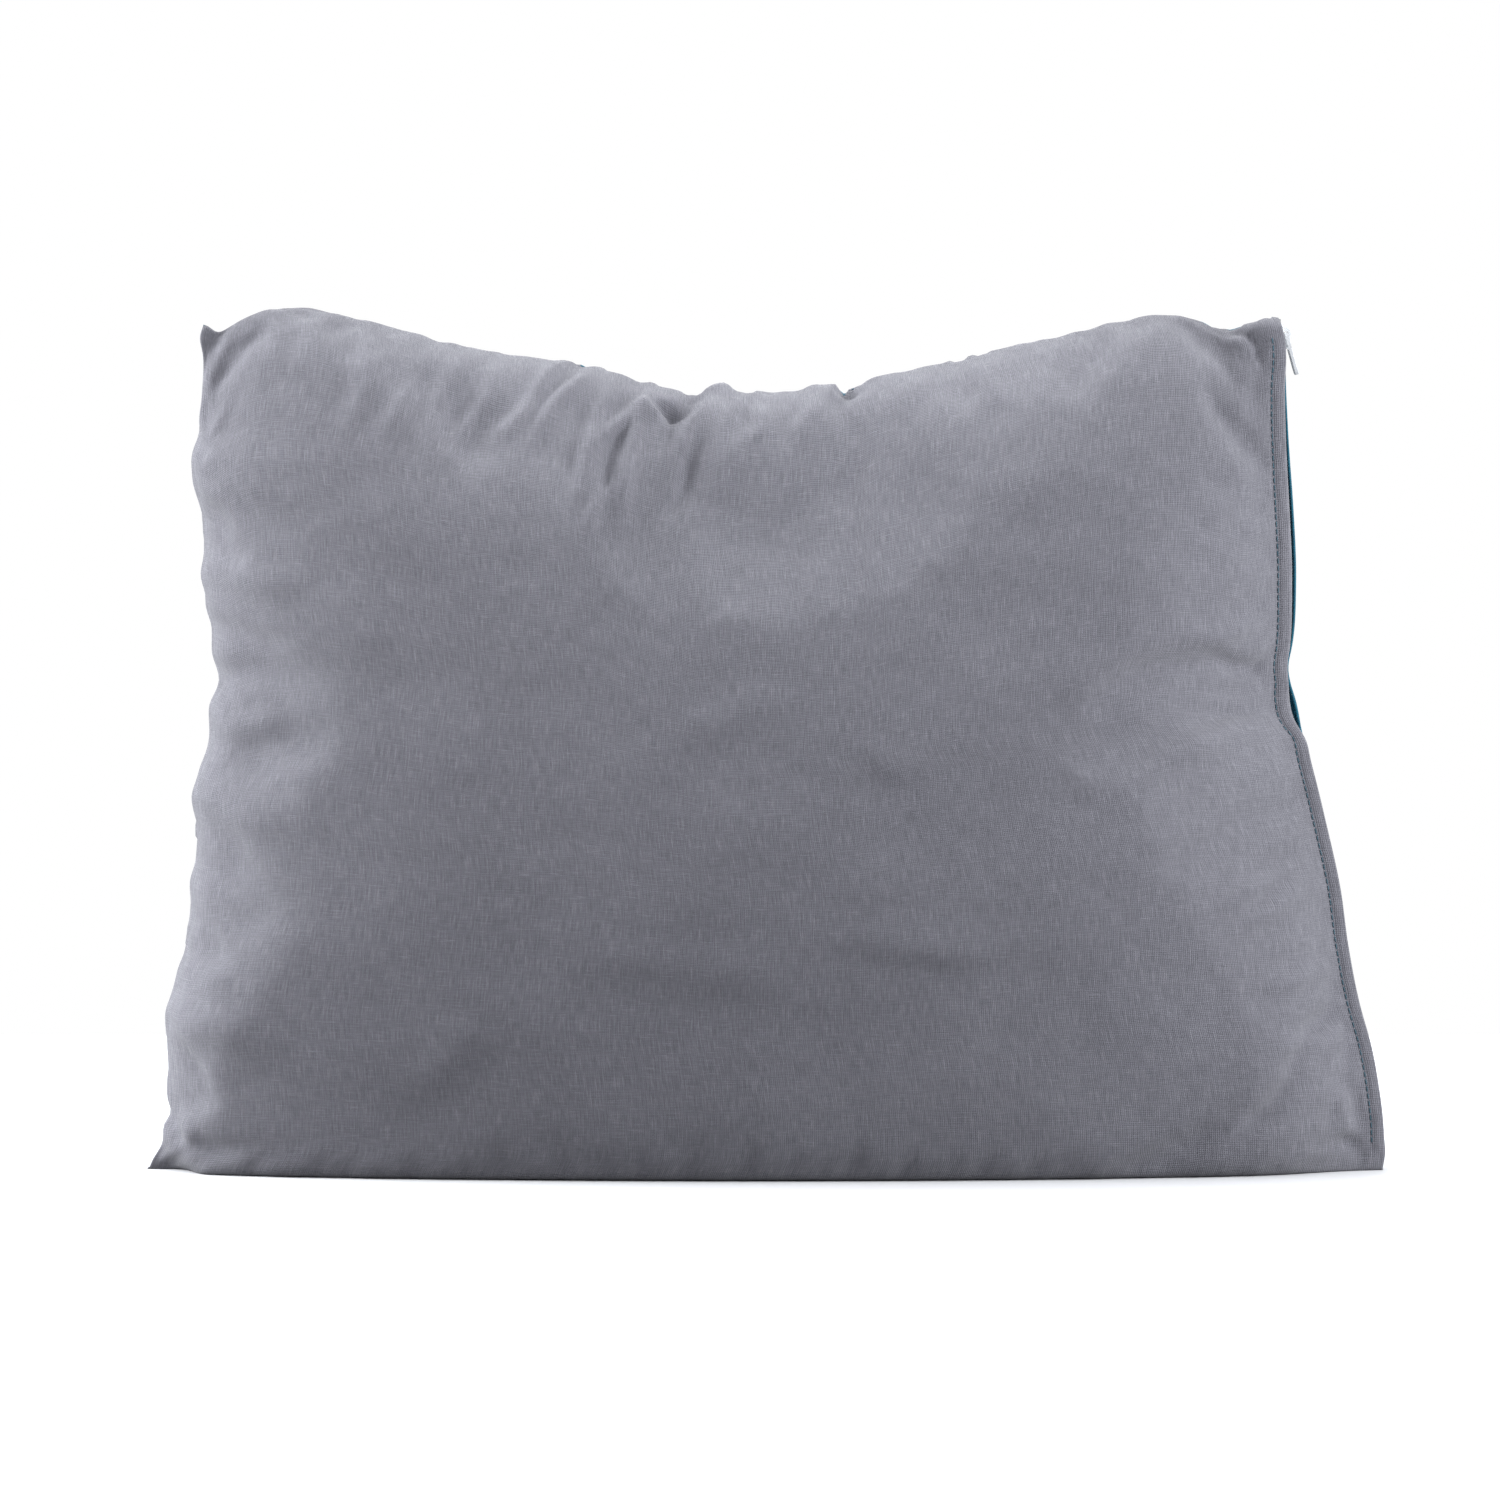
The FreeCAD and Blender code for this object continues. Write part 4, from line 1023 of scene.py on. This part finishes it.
# ---- zip ------------------------------------------------------------------------------------------------
COIL_PITCH, TURN_RADIUS, FILAMENT = 1.42, 0.85, 0.33      # filament is the radius of the nylon itself
TURN_SLANT, TURN_FLATTENED = 0.32, 0.98   # its run along the zip as it crosses it, and its depth
COIL_TOP_MARGIN, COIL_FOOT_MARGIN = 0.7, 0.6
COIL_FROM_MIDDLE = 0.92
TAPE, TAPE_EDGE, TAPE_RETURN = 0.4, 1.1, 11.0     # thickness, edge in the coil, width turned back
TAPE_HIDDEN = 6.0         # the tapes' upper ends are lost in the sewn corner
TAPE_TRIM_START = 386.0   # above this height the part that turns back is trimmed narrower
TAPE_TRIMMED = 0.6
TAPE_ROWS = 160


def zip_point(rise, z):
    """X and height of a zip place: rise is outward from the coil's middle, square to the zip's arc."""
    angle = math.asin((ZIP_ARC_Z - z) / (ZIP_FOLD_RADIUS + COIL_INSET))
    reach = ZIP_FOLD_RADIUS + COIL_INSET - rise
    return ZIP_ARC_X - reach * math.cos(angle), ZIP_ARC_Z - reach * math.sin(angle)


def make_coils():
    """Wound filament on both tapes: one slanted turn, copied down the zip."""
    low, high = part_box("zip_coil_front")
    for side, node, name in ((-1, "zip_coil_front", "CoilFront"), (1, "zip_coil_rear", "CoilRear")):
        bpy.ops.mesh.primitive_torus_add(major_segments=10, minor_segments=5, major_radius=TURN_RADIUS,
                                         minor_radius=FILAMENT)
        turn = bpy.context.active_object
        points = points_of(turn) * MM
        points[:, 1] *= TURN_FLATTENED
        points[:, 2] += TURN_SLANT * points[:, 0]
        copies = []
        z = high.z / MM - COIL_TOP_MARGIN - (0.0 if side < 0 else COIL_PITCH / 2)
        while z > low.z / MM + COIL_FOOT_MARGIN:
            angle = math.asin((ZIP_ARC_Z - z) / (ZIP_FOLD_RADIUS + COIL_INSET))
            inward = Vector((-math.cos(angle), 0, -math.sin(angle)))
            down = Vector((math.sin(angle), 0, -math.cos(angle)))
            centre = Vector((zip_point(0, z)[0], side * COIL_FROM_MIDDLE, z))
            copy = bpy.data.objects.new(name, turn.data.copy())
            scene.collection.objects.link(copy)
            basis = Matrix((inward, down.cross(inward), down)).transposed().to_4x4()
            put_points(copy, points)
            copy.data.transform(Matrix.Translation(centre * MM) @ basis)
            copies.append(copy)
            z -= COIL_PITCH * abs(down.z)
        bpy.data.objects.remove(turn)
        dress(joined(copies, name), "zip_coil", node)


def make_tapes():
    """Both woven tapes: flat from the coil to the slider's side, then back under the hem."""
    for side, node, name in ((-1, "zip_tape_front", "TapeFront"), (1, "zip_tape_rear", "TapeRear")):
        low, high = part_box(node)
        bend = abs(low.y if side < 0 else high.y) / MM
        section = [(TAPE / 2, TAPE_EDGE), (TAPE / 2, bend), (-TAPE_RETURN, bend),
                   (-TAPE_RETURN, bend - TAPE), (-TAPE / 2, bend - TAPE), (-TAPE / 2, TAPE_EDGE)]
        heights = np.linspace(low.z / MM + 0.5, high.z / MM - TAPE_HIDDEN, TAPE_ROWS)
        places = []
        for z in heights:
            trimmed = TAPE_TRIMMED * smooth_step(z, TAPE_TRIM_START, TAPE_TRIM_START + 12)
            for rise, across in section:
                x, height = zip_point(rise * (1 - trimmed) if rise == -TAPE_RETURN else rise, z)
                places.append((x * MM, side * across * MM, height * MM))
        around = len(section)
        last = around * (TAPE_ROWS - 1)
        faces = [[k + a, k + (a + 1) % around, k + around + (a + 1) % around, k + around + a]
                 for k in range(0, last, around) for a in range(around)]
        for k in (0, last):
            faces += [[k, k + 1, k + 4, k + 5], [k + 1, k + 2, k + 3, k + 4]]
        mesh = bpy.data.meshes.new(name)
        mesh.from_pydata(places, [], faces)
        piece = bpy.data.objects.new(name, mesh)
        scene.collection.objects.link(piece)
        only(piece)
        bpy.ops.object.mode_set(mode="EDIT")
        bpy.ops.mesh.select_all(action="SELECT")
        bpy.ops.mesh.normals_make_consistent(inside=False)
        bpy.ops.object.mode_set(mode="OBJECT")
        dress(piece, "zip_tape", node)


def keep_node(name, slot):
    """A CAD node that is shown as it is, in its better material."""
    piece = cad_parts[name]
    piece.data.materials.clear()
    piece.data.materials.append(MATERIALS[slot])


# ---- floor ----------------------------------------------------------------------------------------------
def make_floor():
    """A pale floor that throws little light back up at the pillow."""
    bpy.ops.mesh.primitive_grid_add(x_subdivisions=4, y_subdivisions=4, size=3.4, location=(0, -0.9, 0))
    floor = bpy.context.active_object
    floor.name = "Floor"
    made, g, shader = new_material("PaleFloor")
    place = g.node("ShaderNodeTexCoord").outputs["Object"]
    tone = g.noise(place, 3.0, 3.0)
    seen = g.node("ShaderNodeLightPath").outputs["Is Camera Ray"]
    pale = g.mix(tone, (0.93, 0.93, 0.935, 1), (0.96, 0.96, 0.965, 1))
    g.feed(shader.inputs["Base Color"], g.mix(seen, (0.24, 0.24, 0.245, 1), pale))
    g.feed(shader.inputs["Roughness"], g.between(tone, 0.3, 0.7, 0.6, 0.7))
    floor.data.materials.append(made)


make_camera()
make_light()
cover_surfaces = make_cover()
make_insert(cover_surfaces)
for side, name, node in ((-1, "TopstitchFront", "topstitch_front"), (1, "TopstitchRear", "topstitch_rear")):
    sewn_line(name, hem_places(side, cover_surfaces[side]), "teal_thread", node)
sewn_line("ClosingSeamThread", seam_places(6.0), "teal_thread", "closing_seam_thread",
          thick=HIDDEN_THREAD)
sewn_line("InsertSeamThread", seam_places(9.5), "insert_thread", "insert_seam_thread",
          thick=HIDDEN_THREAD)
make_coils()
make_tapes()
for node in ("zip_top_stop_front", "zip_top_stop_rear", "zip_bottom_stop"):
    keep_node(node, "stop_metal")
for node in ("slider_body", "pull_tab"):
    keep_node(node, "slider_paint")
make_floor()
